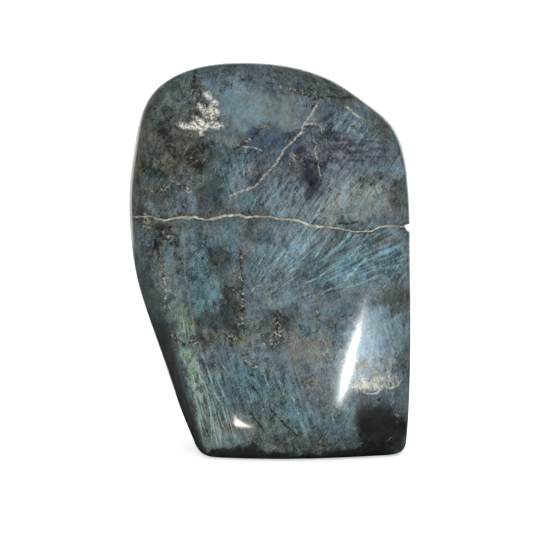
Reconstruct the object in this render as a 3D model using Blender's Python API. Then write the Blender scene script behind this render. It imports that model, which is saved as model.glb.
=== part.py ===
"""A polished labradorite freeform: one stone, sawn flat underneath so that it stands,
with a broad gently domed face, soft ground folds, a leaning lower left side and an open
crack that notches its right edge."""

import math

import bpy
import numpy as np

# Driving dimensions, in metres and degrees.
WIDTH = 0.100
HEIGHT = 0.140
DEPTH = 0.043

# The outline seen from the front, clockwise from the top. Each station has its place across
# (share of half the width), its height (share of the height), the rounding of the front
# edge there in metres, and how far the side leans in towards the front in degrees.
OUTLINE = (
    (-0.235, 1.010, 0.012, 8.0),
    (0.120, 1.000, 0.012, 8.0),
    (0.455, 0.960, 0.011, 8.0),
    (0.715, 0.895, 0.010, 7.0),
    (0.890, 0.835, 0.009, 5.0),
    (0.965, 0.760, 0.007, 3.0),
    (0.990, 0.680, 0.005, 2.0),
    (1.000, 0.610, 0.004, 2.0),
    (1.005, 0.535, 0.004, 2.0),
    (1.010, 0.415, 0.004, 2.0),
    (1.010, 0.245, 0.004, 2.0),
    (0.995, 0.070, 0.005, 2.0),
    (0.940, -0.050, 0.006, 2.0),
    (0.600, -0.180, 0.006, 2.0),
    (0.100, -0.240, 0.006, 3.0),
    (-0.330, -0.150, 0.006, 8.0),
    (-0.490, -0.040, 0.006, 9.0),
    (-0.605, 0.050, 0.006, 11.0),
    (-0.740, 0.170, 0.006, 13.0),
    (-0.875, 0.310, 0.007, 13.0),
    (-0.985, 0.450, 0.008, 12.0),
    (-1.015, 0.560, 0.009, 8.0),
    (-1.015, 0.685, 0.010, 6.0),
    (-0.970, 0.805, 0.011, 6.0),
    (-0.875, 0.920, 0.012, 7.0),
    (-0.605, 0.990, 0.012, 8.0),
)
HUB_HEIGHT = 0.47 * HEIGHT

# The front: leaning back, domed by this radius across (and this share of it upright), and
# turning away beyond each soft fold. A fold has two points of its line (x, z), the angle
# that it falls by on the right of the way from the first point to the second, and the
# width over which it turns.
FRONT_AT = -0.39 * DEPTH
FRONT_LEAN = 7.0
FRONT_DOME = 0.55
DOME_UPRIGHT = 0.6
FRONT_FOLDS = {
    "right": ((0.0225, 0.020), (0.0365, 0.064), 9.0, 0.015),
    "foot": ((-0.030, 0.0090), (0.045, 0.0090), 16.0, 0.009),
    "lower_left": ((-0.021, 0.058), (-0.0105, 0.008), 11.0, 0.016),
    "crown": ((0.040, 0.119), (-0.045, 0.119), 6.0, 0.022),
    "shoulder": ((0.0355, 0.1187), (0.0272, 0.1250), 6.0, 0.005),
}

# The back: plainer, with two folds of its own.
BACK_AT = 0.50 * DEPTH
BACK_LEAN = 0.5
BACK_DOME = 0.45
BACK_FOLDS = {
    "upper": ((0.050, 0.100), (-0.045, 0.088), 6.0, 0.020),
    "side": ((0.012, 0.000), (0.020, 0.140), 9.0, 0.024),
}

# The sides: widest on this plane, leaning in evenly behind it.
WIDEST_AT = 0.14 * DEPTH
BACK_SIDE_LEAN = 9.0
BACK_ROUNDING = 0.010
SIDE_TURN = 0.012
FOOT_ROUNDING = 0.0035
FILLET_BLEND = 1.17

# The open crack: a notch round the right side, falling towards the back, steep above its
# deepest line and sloping below it.
CRACK_HEIGHT = 0.578 * HEIGHT
CRACK_RISE = -0.115
NOTCH_DEPTH = 0.0019
NOTCH_ABOVE = 0.0009
NOTCH_BELOW = 0.0020
NOTCH_FROM_X = 0.43 * WIDTH
NOTCH_FADE = 0.04 * WIDTH

# The grid of faces: lines across, front to back, below the crack and above it. The level
# lines tilt with the crack and keep to its plane, so that its edges run along them. Each
# point is ground towards an aim on the stone's upright middle line.
LIPS_CLEAR = 1.2 * NOTCH_BELOW
LINES_ACROSS = 27
LINES_DEEP = 14
LINES_BELOW = 26
LINES_ABOVE = 19
LOWEST_AIM = 0.35 * HEIGHT
HIGHEST_AIM = 0.70 * HEIGHT
CROWDING = 0.60
FARTHEST_STRETCH = 1.6
SOLVE_STEPS = 44
BASE_SNAP = 1e-7
SHARP_EDGE = 40.0

STONE_COLOUR = (0.075, 0.105, 0.120, 1.0)
STONE_ROUGHNESS = 0.12


def clear_scene():
    for old in list(bpy.data.objects):
        bpy.data.objects.remove(old)


def smooth_max(a, b, blend):
    """The larger of two distances, with the crease between them rounded over the blend."""
    overlap = np.clip(1.0 - np.abs(a - b) / blend, 0.0, None)
    return np.maximum(a, b) + 0.25 * blend * overlap**2


def closed_spline(knots, values, at):
    """Values at any bearing, on the closed cubic curve through the stations."""
    count = len(knots)
    gaps = np.diff(np.append(knots, knots[0] + math.tau))
    slopes = np.diff(np.append(values, values[0])) / gaps
    bends = np.zeros((count, count))
    for i in range(count):
        before = (i - 1) % count
        after = (i + 1) % count
        bends[i, before] += gaps[before]
        bends[i, i] += 2.0 * (gaps[before] + gaps[i])
        bends[i, after] += gaps[i]
    curve = np.linalg.solve(bends, 6.0 * (slopes - np.roll(slopes, 1)))
    at = (at - knots[0]) % math.tau + knots[0]
    i = np.clip(np.searchsorted(knots, at, side="right") - 1, 0, count - 1)
    after = (i + 1) % count
    t = at - knots[i]
    left = gaps[i] - t
    return (
        (curve[i] * left**3 + curve[after] * t**3) / (6.0 * gaps[i])
        + (values[i] / gaps[i] - curve[i] * gaps[i] / 6.0) * left
        + (values[after] / gaps[i] - curve[after] * gaps[i] / 6.0) * t
    )


def outline_stations():
    """Bearing from the hub, radius, edge rounding and side lean of each station."""
    table = np.array(OUTLINE)
    x = table[:, 0] * WIDTH / 2
    z = table[:, 1] * HEIGHT - HUB_HEIGHT
    bearings = np.arctan2(x, z)
    bearings = np.where(bearings < bearings[0], bearings + math.tau, bearings)
    return bearings, np.hypot(x, z), table[:, 2], np.radians(table[:, 3])


STATIONS = outline_stations()


def folded(y, x, z, folds, side):
    """A face's depth with its folds added: beyond each line the face turns inwards."""
    for (ax, az), (bx, bz), fall, width in folds.values():
        length = math.hypot(bx - ax, bz - az)
        beyond = ((x - ax) * (bz - az) - (z - az) * (bx - ax)) / length
        y = y + side * math.tan(math.radians(fall)) * smooth_max(beyond, 0.0, width)
    return y


def front_face(x, z):
    lean = math.tan(math.radians(FRONT_LEAN)) * (z - HUB_HEIGHT)
    dome = (x**2 + DOME_UPRIGHT * (z - HUB_HEIGHT) ** 2) / (2.0 * FRONT_DOME)
    return folded(FRONT_AT + lean + dome, x, z, FRONT_FOLDS, 1.0)


def back_face(x, z):
    lean = math.tan(math.radians(BACK_LEAN)) * (z - HUB_HEIGHT)
    dome = (x**2 + DOME_UPRIGHT * (z - HUB_HEIGHT) ** 2) / (2.0 * BACK_DOME)
    return folded(BACK_AT - lean - dome, x, z, BACK_FOLDS, -1.0)


def side_wall(x, y, z):
    """Distance outside the leaning side, and the rounding of the front edge there."""
    bearings, radii, roundings, leans = STATIONS
    bearing = np.arctan2(x, z - HUB_HEIGHT)
    reach = closed_spline(bearings, radii, bearing)
    rounding = closed_spline(bearings, roundings, bearing)
    lean = closed_spline(bearings, leans, bearing)
    outside = np.hypot(x, z - HUB_HEIGHT) - reach
    before = smooth_max(WIDEST_AT - y, 0.0, SIDE_TURN)
    behind = smooth_max(y - WIDEST_AT, 0.0, SIDE_TURN)
    lean_behind = math.tan(math.radians(BACK_SIDE_LEAN))
    return outside + np.tan(lean) * before + lean_behind * behind, rounding


def notch(x, y, z):
    """How deep the open crack cuts into the right side."""
    above = z - CRACK_HEIGHT - CRACK_RISE * y
    narrowing = np.clip(1.0 - np.maximum(above / NOTCH_ABOVE, -above / NOTCH_BELOW), 0.0, 1.0)
    return NOTCH_DEPTH * narrowing * np.clip((x - NOTCH_FROM_X) / NOTCH_FADE, 0.0, 1.0)


def outside_stone(points):
    """Above zero outside the stone and below zero inside it."""
    x, y, z = points.T
    wall, rounding = side_wall(x, y, z)
    form = smooth_max(wall, front_face(x, z) - y, FILLET_BLEND * rounding)
    form = smooth_max(form, y - back_face(x, z), FILLET_BLEND * BACK_ROUNDING)
    form = form + notch(x, y, z)
    return smooth_max(form, -z, FILLET_BLEND * FOOT_ROUNDING)


def ground_to_form(block, aims):
    """Slides each point of the block along the line to its aim, to the stone's surface."""
    rays = block - aims
    near = np.zeros(len(block))
    far = np.full(len(block), FARTHEST_STRETCH)
    for _ in range(SOLVE_STEPS):
        middle = (near + far) / 2.0
        out = outside_stone(aims + rays * middle[:, None]) > 0.0
        far = np.where(out, middle, far)
        near = np.where(out, near, middle)
    points = aims + rays * near[:, None]
    points[np.abs(points[:, 2]) < BASE_SNAP, 2] = 0.0
    return points


def crowded(low, high, count):
    """Grid lines from low to high, closer together near both ends."""
    t = np.linspace(0.0, 1.0, count + 1)
    return low + (high - low) * (t - CROWDING * np.sin(math.tau * t) / math.tau)


def block_grid():
    """The points of a sawn block's surface, the aim of each, and the four-sided faces."""
    xs = crowded(-WIDTH / 2, WIDTH / 2, LINES_ACROSS)
    depths = crowded(0.0, 1.0, LINES_DEEP)
    below = crowded(0.0, CRACK_HEIGHT, LINES_BELOW)
    above = crowded(CRACK_HEIGHT, HEIGHT, LINES_ABOVE)
    lips = CRACK_HEIGHT + np.array([-NOTCH_BELOW, -NOTCH_BELOW / 2, 0.0, NOTCH_ABOVE])
    below = below[below < CRACK_HEIGHT - LIPS_CLEAR]
    above = above[above > CRACK_HEIGHT + LIPS_CLEAR]
    zs = np.concatenate([below, lips, above])
    index, faces = {}, []

    def corner(i, j, k):
        return index.setdefault((i, j, k), len(index))

    last = (len(xs) - 1, len(depths) - 1, len(zs) - 1)
    for axis, (u, v) in enumerate(((1, 2), (2, 0), (0, 1))):
        for end in (0, last[axis]):
            for a in range(last[u]):
                for b in range(last[v]):
                    ring = []
                    for du, dv in ((0, 0), (1, 0), (1, 1), (0, 1)):
                        place = [0, 0, 0]
                        place[axis] = end
                        place[u] = a + du
                        place[v] = b + dv
                        ring.append(corner(*place))
                    faces.append(ring if end else ring[::-1])
    i, j, k = np.array(list(index)).T
    x, z = xs[i], zs[k]
    y = front_face(x, z) + depths[j] * (back_face(x, z) - front_face(x, z))
    tilt = CRACK_RISE * np.interp(z, (0.0, CRACK_HEIGHT, HEIGHT), (0.0, 1.0, 0.0))
    lips = (CRACK_HEIGHT - NOTCH_BELOW, CRACK_HEIGHT + NOTCH_ABOVE)
    aim = np.interp(z, (0.0, *lips, HEIGHT), (LOWEST_AIM, *lips, HIGHEST_AIM))
    aims = np.stack([0.0 * x, 0.0 * x, aim], axis=1)
    return np.stack([x, y, z + tilt * y], axis=1), aims, faces


def stone_material():
    material = bpy.data.materials.new("polished_labradorite")
    material.use_nodes = True
    shader = material.node_tree.nodes["Principled BSDF"]
    shader.inputs["Base Color"].default_value = STONE_COLOUR
    shader.inputs["Roughness"].default_value = STONE_ROUGHNESS
    shader.inputs["Metallic"].default_value = 0.0
    return material


def make_stone():
    block, aims, faces = block_grid()
    mesh = bpy.data.meshes.new("labradorite")
    mesh.from_pydata(ground_to_form(block, aims).tolist(), [], faces)
    mesh.update()
    mesh.shade_smooth()
    mesh.set_sharp_from_angle(angle=math.radians(SHARP_EDGE))
    mesh.materials.append(stone_material())
    stone = bpy.data.objects.new("labradorite", mesh)
    bpy.context.scene.collection.objects.link(stone)
    return stone


def main():
    clear_scene()
    make_stone()


main()
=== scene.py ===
"""A polished labradorite freeform, standing on its sawn base in front of a white sweep.

The stone is grey-blue and green feldspar with blue and violet flashes in thin layers, healed
cracks filled with cream calcite, black mica specks, and one open crack across its middle."""

import math

import bpy
import numpy as np
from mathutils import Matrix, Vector


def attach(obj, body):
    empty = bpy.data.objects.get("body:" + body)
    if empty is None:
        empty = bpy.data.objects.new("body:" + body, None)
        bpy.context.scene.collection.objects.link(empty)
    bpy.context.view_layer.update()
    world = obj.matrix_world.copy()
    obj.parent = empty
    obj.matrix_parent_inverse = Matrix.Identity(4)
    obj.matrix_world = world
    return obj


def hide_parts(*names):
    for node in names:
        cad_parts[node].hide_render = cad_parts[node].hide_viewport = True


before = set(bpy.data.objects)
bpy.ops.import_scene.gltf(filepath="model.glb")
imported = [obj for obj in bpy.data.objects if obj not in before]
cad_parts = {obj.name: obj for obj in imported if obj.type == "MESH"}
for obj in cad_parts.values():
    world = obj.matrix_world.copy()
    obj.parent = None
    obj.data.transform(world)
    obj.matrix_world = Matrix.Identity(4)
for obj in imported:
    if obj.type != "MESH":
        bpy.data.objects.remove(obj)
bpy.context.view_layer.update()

# The labradorite.
# The real piece is one lump of labradorite, sawn flat underneath, then ground and polished
# by hand to a softly folded freeform. It weighs about a kilogram.

MM = 0.001
WIDTH = 100.0
HEIGHT = 140.0
DEPTH = 43.0

# Outline stations, clockwise from the top: place across as a share of half the width, height
# as a share of the height, rounding of the front edge in mm, lean of the side in degrees.
OUTLINE = (
    (-0.235, 1.010, 12.0, 8.0),
    (0.120, 1.000, 12.0, 8.0),
    (0.455, 0.960, 11.0, 8.0),
    (0.715, 0.895, 10.0, 7.0),
    (0.890, 0.835, 9.0, 5.0),
    (0.965, 0.760, 7.0, 3.0),
    (0.990, 0.680, 5.0, 2.0),
    (1.000, 0.610, 4.0, 2.0),
    (1.005, 0.535, 4.0, 2.0),
    (1.010, 0.415, 4.0, 2.0),
    (1.010, 0.245, 4.0, 2.0),
    (0.995, 0.070, 5.0, 2.0),
    (0.940, -0.050, 6.0, 2.0),
    (0.600, -0.180, 6.0, 2.0),
    (0.100, -0.240, 6.0, 3.0),
    (-0.330, -0.150, 6.0, 8.0),
    (-0.490, -0.040, 6.0, 9.0),
    (-0.605, 0.050, 6.0, 11.0),
    (-0.740, 0.170, 6.0, 13.0),
    (-0.875, 0.310, 7.0, 13.0),
    (-0.985, 0.450, 8.0, 12.0),
    (-1.015, 0.560, 9.0, 8.0),
    (-1.015, 0.685, 10.0, 6.0),
    (-0.970, 0.805, 11.0, 6.0),
    (-0.875, 0.920, 12.0, 7.0),
    (-0.605, 0.990, 12.0, 8.0),
)
HUB_HEIGHT = 0.47 * HEIGHT

# Each face leans, is domed by its radius, and turns away past the soft folds: two points of
# the fold's line (x, z), the angle it falls by, and the width over which it turns.
FRONT_AT = -0.39 * DEPTH
FRONT_LEAN = 7.0
FRONT_DOME = 550.0
FRONT_FOLDS = (
    ((22.5, 20.0), (36.5, 64.0), 9.0, 15.0),
    ((-30.0, 9.0), (45.0, 9.0), 16.0, 9.0),
    ((-21.0, 58.0), (-10.5, 8.0), 11.0, 16.0),
    ((40.0, 119.0), (-45.0, 119.0), 6.0, 22.0),
    ((35.5, 118.7), (27.2, 125.0), 6.0, 5.0),
)
BACK_AT = 0.50 * DEPTH
BACK_LEAN = 0.5
BACK_DOME = 450.0
BACK_FOLDS = (
    ((50.0, 100.0), (-45.0, 88.0), 6.0, 20.0),
    ((12.0, 0.0), (20.0, 140.0), 9.0, 24.0),
)
DOME_UPRIGHT = 0.6
WIDEST_AT = 0.14 * DEPTH
BACK_SIDE_LEAN = 9.0
BACK_ROUNDING = 10.0
SIDE_TURN = 12.0
FOOT_ROUNDING = 3.5
FILLET_BLEND = 1.17

# The open crack: a notch in the right side, and a hairline groove where it runs on.
CRACK_HEIGHT = 0.578 * HEIGHT
CRACK_RISE = -0.115
NOTCH_DEPTH = 1.9
NOTCH_ABOVE = 0.9
NOTCH_BELOW = 2.0
NOTCH_FROM_X = 0.43 * WIDTH
NOTCH_FADE = 0.04 * WIDTH
GROOVE_DEPTH = 0.10
GROOVE_HALF_WIDTH = 0.35

# Hand polish leaves the faces wavering a little, and takes a trace off the ground size.
POLISH_LOSS = 0.07
WAVER = 0.006
WAVER_LENGTHS = (9.0, 17.0)
CHIPS = (
    ((49.9, 6.0, 57.0), 1.3, 0.45),
    ((-49.2, 6.0, 79.5), 1.1, 0.30),
    ((-46.2, 5.0, 58.5), 1.2, 0.30),
)

# The drawing of the markings lies on the leaning front face, so it runs a little longer
# than the upright height. All places of markings below are (x, up the drawing) in mm.
DRAWING_STRETCH = 1.010
DRAWING_RISE = 0.2

# The healed crack across the face, from the left edge to the open notch on the right.
CRACK_PATH = (
    (-52.0, 86.0), (-43.0, 86.5), (-41.5, 86.6), (-40.0, 86.0), (-37.0, 85.3),
    (-35.0, 85.6), (-33.0, 86.2), (-30.5, 86.6), (-28.0, 86.3), (-26.5, 86.8),
    (-24.0, 86.1), (-21.5, 85.6), (-19.0, 86.2), (-16.0, 87.2), (-13.0, 87.2),
    (-10.5, 87.5), (-8.0, 86.6), (-5.0, 87.0), (-3.0, 86.9), (0.0, 87.0),
    (3.0, 86.2), (6.0, 86.0), (10.0, 85.6), (12.0, 84.9), (14.0, 83.8),
    (17.0, 83.4), (20.0, 83.4), (22.0, 83.0), (25.0, 82.6), (28.0, 82.0),
    (30.0, 81.6), (33.0, 81.6), (36.0, 81.7), (37.0, 82.5), (38.5, 83.2),
    (41.0, 83.4), (44.0, 83.4), (46.5, 83.1),
)

# Breadth of its filling along it, as (x, breadth) in mm.
CRACK_BREADTHS = (
    (-50.0, 0.30), (-40.0, 0.35), (-33.0, 0.45), (-29.5, 0.90), (-24.5, 0.45),
    (-18.0, 0.85), (-9.0, 0.80), (-3.0, 0.50), (5.0, 0.55), (12.0, 0.95),
    (18.5, 0.80), (23.0, 0.38), (36.0, 0.32), (41.0, 0.60), (47.0, 0.45),
)


def smooth_max(a, b, blend):
    """The larger of two distances, with the crease between them rounded over the blend."""
    overlap = np.clip(1.0 - np.abs(a - b) / blend, 0.0, None)
    return np.maximum(a, b) + 0.25 * blend * overlap**2


def closed_spline(knots, values, at):
    """Values at any bearing, on the closed cubic curve through the stations."""
    count = len(knots)
    gaps = np.diff(np.append(knots, knots[0] + math.tau))
    slopes = np.diff(np.append(values, values[0])) / gaps
    bends = np.zeros((count, count))
    for i in range(count):
        before = (i - 1) % count
        after = (i + 1) % count
        bends[i, before] += gaps[before]
        bends[i, i] += 2.0 * (gaps[before] + gaps[i])
        bends[i, after] += gaps[i]
    curve = np.linalg.solve(bends, 6.0 * (slopes - np.roll(slopes, 1)))
    at = (at - knots[0]) % math.tau + knots[0]
    i = np.clip(np.searchsorted(knots, at, side="right") - 1, 0, count - 1)
    after = (i + 1) % count
    t = at - knots[i]
    left = gaps[i] - t
    return (
        (curve[i] * left**3 + curve[after] * t**3) / (6.0 * gaps[i])
        + (values[i] / gaps[i] - curve[i] * gaps[i] / 6.0) * left
        + (values[after] / gaps[i] - curve[after] * gaps[i] / 6.0) * t
    )


def folded(y, x, z, folds, side):
    """A face's depth with its folds added: beyond each line the face turns inwards."""
    for (ax, az), (bx, bz), fall, width in folds:
        length = math.hypot(bx - ax, bz - az)
        beyond = ((x - ax) * (bz - az) - (z - az) * (bx - ax)) / length
        y = y + side * math.tan(math.radians(fall)) * smooth_max(beyond, 0.0, width)
    return y


def front_face(x, z):
    """How far back the front face lies at this place."""
    lean = math.tan(math.radians(FRONT_LEAN)) * (z - HUB_HEIGHT)
    dome = (x**2 + DOME_UPRIGHT * (z - HUB_HEIGHT) ** 2) / (2.0 * FRONT_DOME)
    return folded(FRONT_AT + lean + dome, x, z, FRONT_FOLDS, 1.0)


def back_face(x, z):
    """How far back the back face lies at this place."""
    lean = math.tan(math.radians(BACK_LEAN)) * (z - HUB_HEIGHT)
    dome = (x**2 + DOME_UPRIGHT * (z - HUB_HEIGHT) ** 2) / (2.0 * BACK_DOME)
    return folded(BACK_AT - lean - dome, x, z, BACK_FOLDS, -1.0)


stations = np.array(OUTLINE)
station_x = stations[:, 0] * WIDTH / 2
station_z = stations[:, 1] * HEIGHT - HUB_HEIGHT
bearings = np.arctan2(station_x, station_z)
bearings = np.where(bearings < bearings[0], bearings + math.tau, bearings)
radii = np.hypot(station_x, station_z)


def side_wall(x, y, z):
    """Distance outside the leaning side, and the rounding of the front edge there."""
    bearing = np.arctan2(x, z - HUB_HEIGHT)
    reach = closed_spline(bearings, radii, bearing)
    rounding = closed_spline(bearings, stations[:, 2], bearing)
    lean = np.radians(closed_spline(bearings, stations[:, 3], bearing))
    outside = np.hypot(x, z - HUB_HEIGHT) - reach
    before = smooth_max(WIDEST_AT - y, 0.0, SIDE_TURN)
    behind = smooth_max(y - WIDEST_AT, 0.0, SIDE_TURN)
    lean_behind = math.tan(math.radians(BACK_SIDE_LEAN))
    return outside + np.tan(lean) * before + lean_behind * behind, rounding


def crack_plane(x, y):
    """Height of the crack, which wanders across and falls evenly towards the back."""
    path = np.array(CRACK_PATH)
    front = (np.interp(x, path[:, 0], path[:, 1]) - DRAWING_RISE) / DRAWING_STRETCH
    even = CRACK_HEIGHT + CRACK_RISE * front_face(x, front)
    return CRACK_HEIGHT + CRACK_RISE * y + front - even


def notch(x, y, z):
    """How deep the open crack cuts into the right side."""
    above = z - CRACK_HEIGHT - CRACK_RISE * y
    narrowing = np.clip(1.0 - np.maximum(above / NOTCH_ABOVE, -above / NOTCH_BELOW), 0.0, 1.0)
    return NOTCH_DEPTH * narrowing * np.clip((x - NOTCH_FROM_X) / NOTCH_FADE, 0.0, 1.0)


DRIFT_WAVES = 14
DRIFT_EVENED = 0.7 * math.sqrt(2.0 / DRIFT_WAVES)


def drift(x, y, z, length, seed):
    """A smooth random field of about this wavelength, mostly between -1 and 1."""
    draw = np.random.default_rng(seed)
    total = 0.0 * x
    for _ in range(DRIFT_WAVES):
        way = draw.normal(size=3)
        way *= math.tau / (length * draw.uniform(0.6, 1.6)) / np.linalg.norm(way)
        total += np.sin(way[0] * x + way[1] * y + way[2] * z + draw.uniform(0.0, math.tau))
    return total * DRIFT_EVENED


def outside_stone(points):
    """Above zero outside the stone and below zero inside it."""
    x, y, z = points.T
    wall, rounding = side_wall(x, y, z)
    form = smooth_max(wall, front_face(x, z) - y, FILLET_BLEND * rounding)
    form = smooth_max(form, y - back_face(x, z), FILLET_BLEND * BACK_ROUNDING)
    form = form + notch(x, y, z) + POLISH_LOSS
    for seed, length in enumerate(WAVER_LENGTHS):
        form = form + WAVER * drift(x, y, z, length, 40 + seed)
    groove = np.clip(1.0 - np.abs(z - crack_plane(x, y)) / GROOVE_HALF_WIDTH, 0.0, 1.0)
    form = form + GROOVE_DEPTH * groove
    for place, reach, deep in CHIPS:
        away = np.linalg.norm(points - np.array(place), axis=1)
        form = form + deep * np.clip(1.0 - away / reach, 0.0, 1.0)
    return smooth_max(form, -z, FILLET_BLEND * FOOT_ROUNDING)


# The mesh starts as a sawn block whose grid lines crowd together at its edges and along
# the crack, and each point is then ground towards the stone's middle.
LINES_ACROSS = 148
LINES_DEEP = 44
LINES_UP = 208
EDGE_CROWD = 2.2
EDGE_REACH = 7.0
CRACK_CROWD = 3.0
CRACK_REACH = 2.2
CRACK_DRAG = 30.0
TOP_CROWD = 0.5
FACE_REACH = 0.15
FRONT_CROWD = 3.0
BACK_CROWD = 1.5
LOWEST_AIM = 0.35 * HEIGHT
HIGHEST_AIM = 0.70 * HEIGHT
FARTHEST_STRETCH = 1.6
SOLVE_STEPS = 32
BASE_SNAP = 1e-4


def crowded(low, high, count, crowds):
    """Grid lines from low to high, closer together near each (place, reach, strength)."""
    fine = np.linspace(low, high, 4000)
    thick = np.ones_like(fine)
    for place, reach, strength in crowds:
        thick += strength * np.exp(-(((fine - place) / reach) ** 2))
    share = np.concatenate([[0.0], np.cumsum((thick[1:] + thick[:-1]) / 2.0)])
    return np.interp(np.linspace(0.0, share[-1], count + 1), share, fine)


across = crowded(
    -WIDTH / 2,
    WIDTH / 2,
    LINES_ACROSS,
    ((-WIDTH / 2, EDGE_REACH, EDGE_CROWD), (WIDTH / 2, EDGE_REACH, EDGE_CROWD)),
)
deep = crowded(
    0.0,
    1.0,
    LINES_DEEP,
    ((0.0, FACE_REACH, FRONT_CROWD), (1.0, FACE_REACH, BACK_CROWD)),
)
up = crowded(
    0.0,
    HEIGHT,
    LINES_UP,
    (
        (0.0, EDGE_REACH, EDGE_CROWD),
        (HEIGHT, EDGE_REACH, TOP_CROWD),
        (CRACK_HEIGHT, CRACK_REACH, CRACK_CROWD),
    ),
)


def block_faces(counts):
    """Grid places (i, j, k) of the block's surface points, and its four-sided faces."""
    last = np.array(counts) - 1
    quads = []
    for axis, (u, v) in enumerate(((1, 2), (2, 0), (0, 1))):
        a, b = np.meshgrid(np.arange(last[u]), np.arange(last[v]), indexing="ij")
        for end in (0, last[axis]):
            ring = np.zeros((a.size, 4, 3), int)
            ring[:, :, axis] = end
            for corner, (du, dv) in enumerate(((0, 0), (1, 0), (1, 1), (0, 1))):
                ring[:, corner, u] = a.ravel() + du
                ring[:, corner, v] = b.ravel() + dv
            quads.append(ring if end else ring[:, ::-1])
    quads = np.concatenate(quads)
    key = (quads[..., 0] * counts[1] + quads[..., 1]) * counts[2] + quads[..., 2]
    _, first, index = np.unique(key.ravel(), return_index=True, return_inverse=True)
    return quads.reshape(-1, 3)[first].T, index.reshape(-1, 4)


(i, j, k), faces = block_faces((len(across), len(deep), len(up)))
x, z = across[i], up[k]
y = front_face(x, z) + deep[j] * (back_face(x, z) - front_face(x, z))
drag = np.clip(1.0 - np.abs(z - CRACK_HEIGHT) / CRACK_DRAG, 0.0, 1.0)
aim_z = np.interp(
    z,
    (0.0, CRACK_HEIGHT - NOTCH_BELOW, CRACK_HEIGHT + NOTCH_ABOVE, HEIGHT),
    (LOWEST_AIM, CRACK_HEIGHT - NOTCH_BELOW, CRACK_HEIGHT + NOTCH_ABOVE, HIGHEST_AIM),
)
block = np.stack([x, y, z + drag * (crack_plane(x, y) - CRACK_HEIGHT)], axis=1)
aims = np.stack([0.0 * x, 0.0 * x, aim_z], axis=1)
rays = block - aims
near = np.zeros(len(block))
far = np.full(len(block), FARTHEST_STRETCH)
for _ in range(SOLVE_STEPS):
    middle = (near + far) / 2.0
    out = outside_stone(aims + rays * middle[:, None]) > 0.0
    far = np.where(out, middle, far)
    near = np.where(out, near, middle)
ground = aims + rays * near[:, None]
ground[np.abs(ground[:, 2]) < BASE_SNAP, 2] = 0.0

stone_mesh = bpy.data.meshes.new("labradorite_stone")
stone_mesh.from_pydata((ground * MM).tolist(), [], faces.tolist())
stone_mesh.update()
stone_mesh.shade_smooth()
stone = bpy.data.objects.new("labradorite_stone", stone_mesh)
bpy.context.scene.collection.objects.link(stone)

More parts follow.
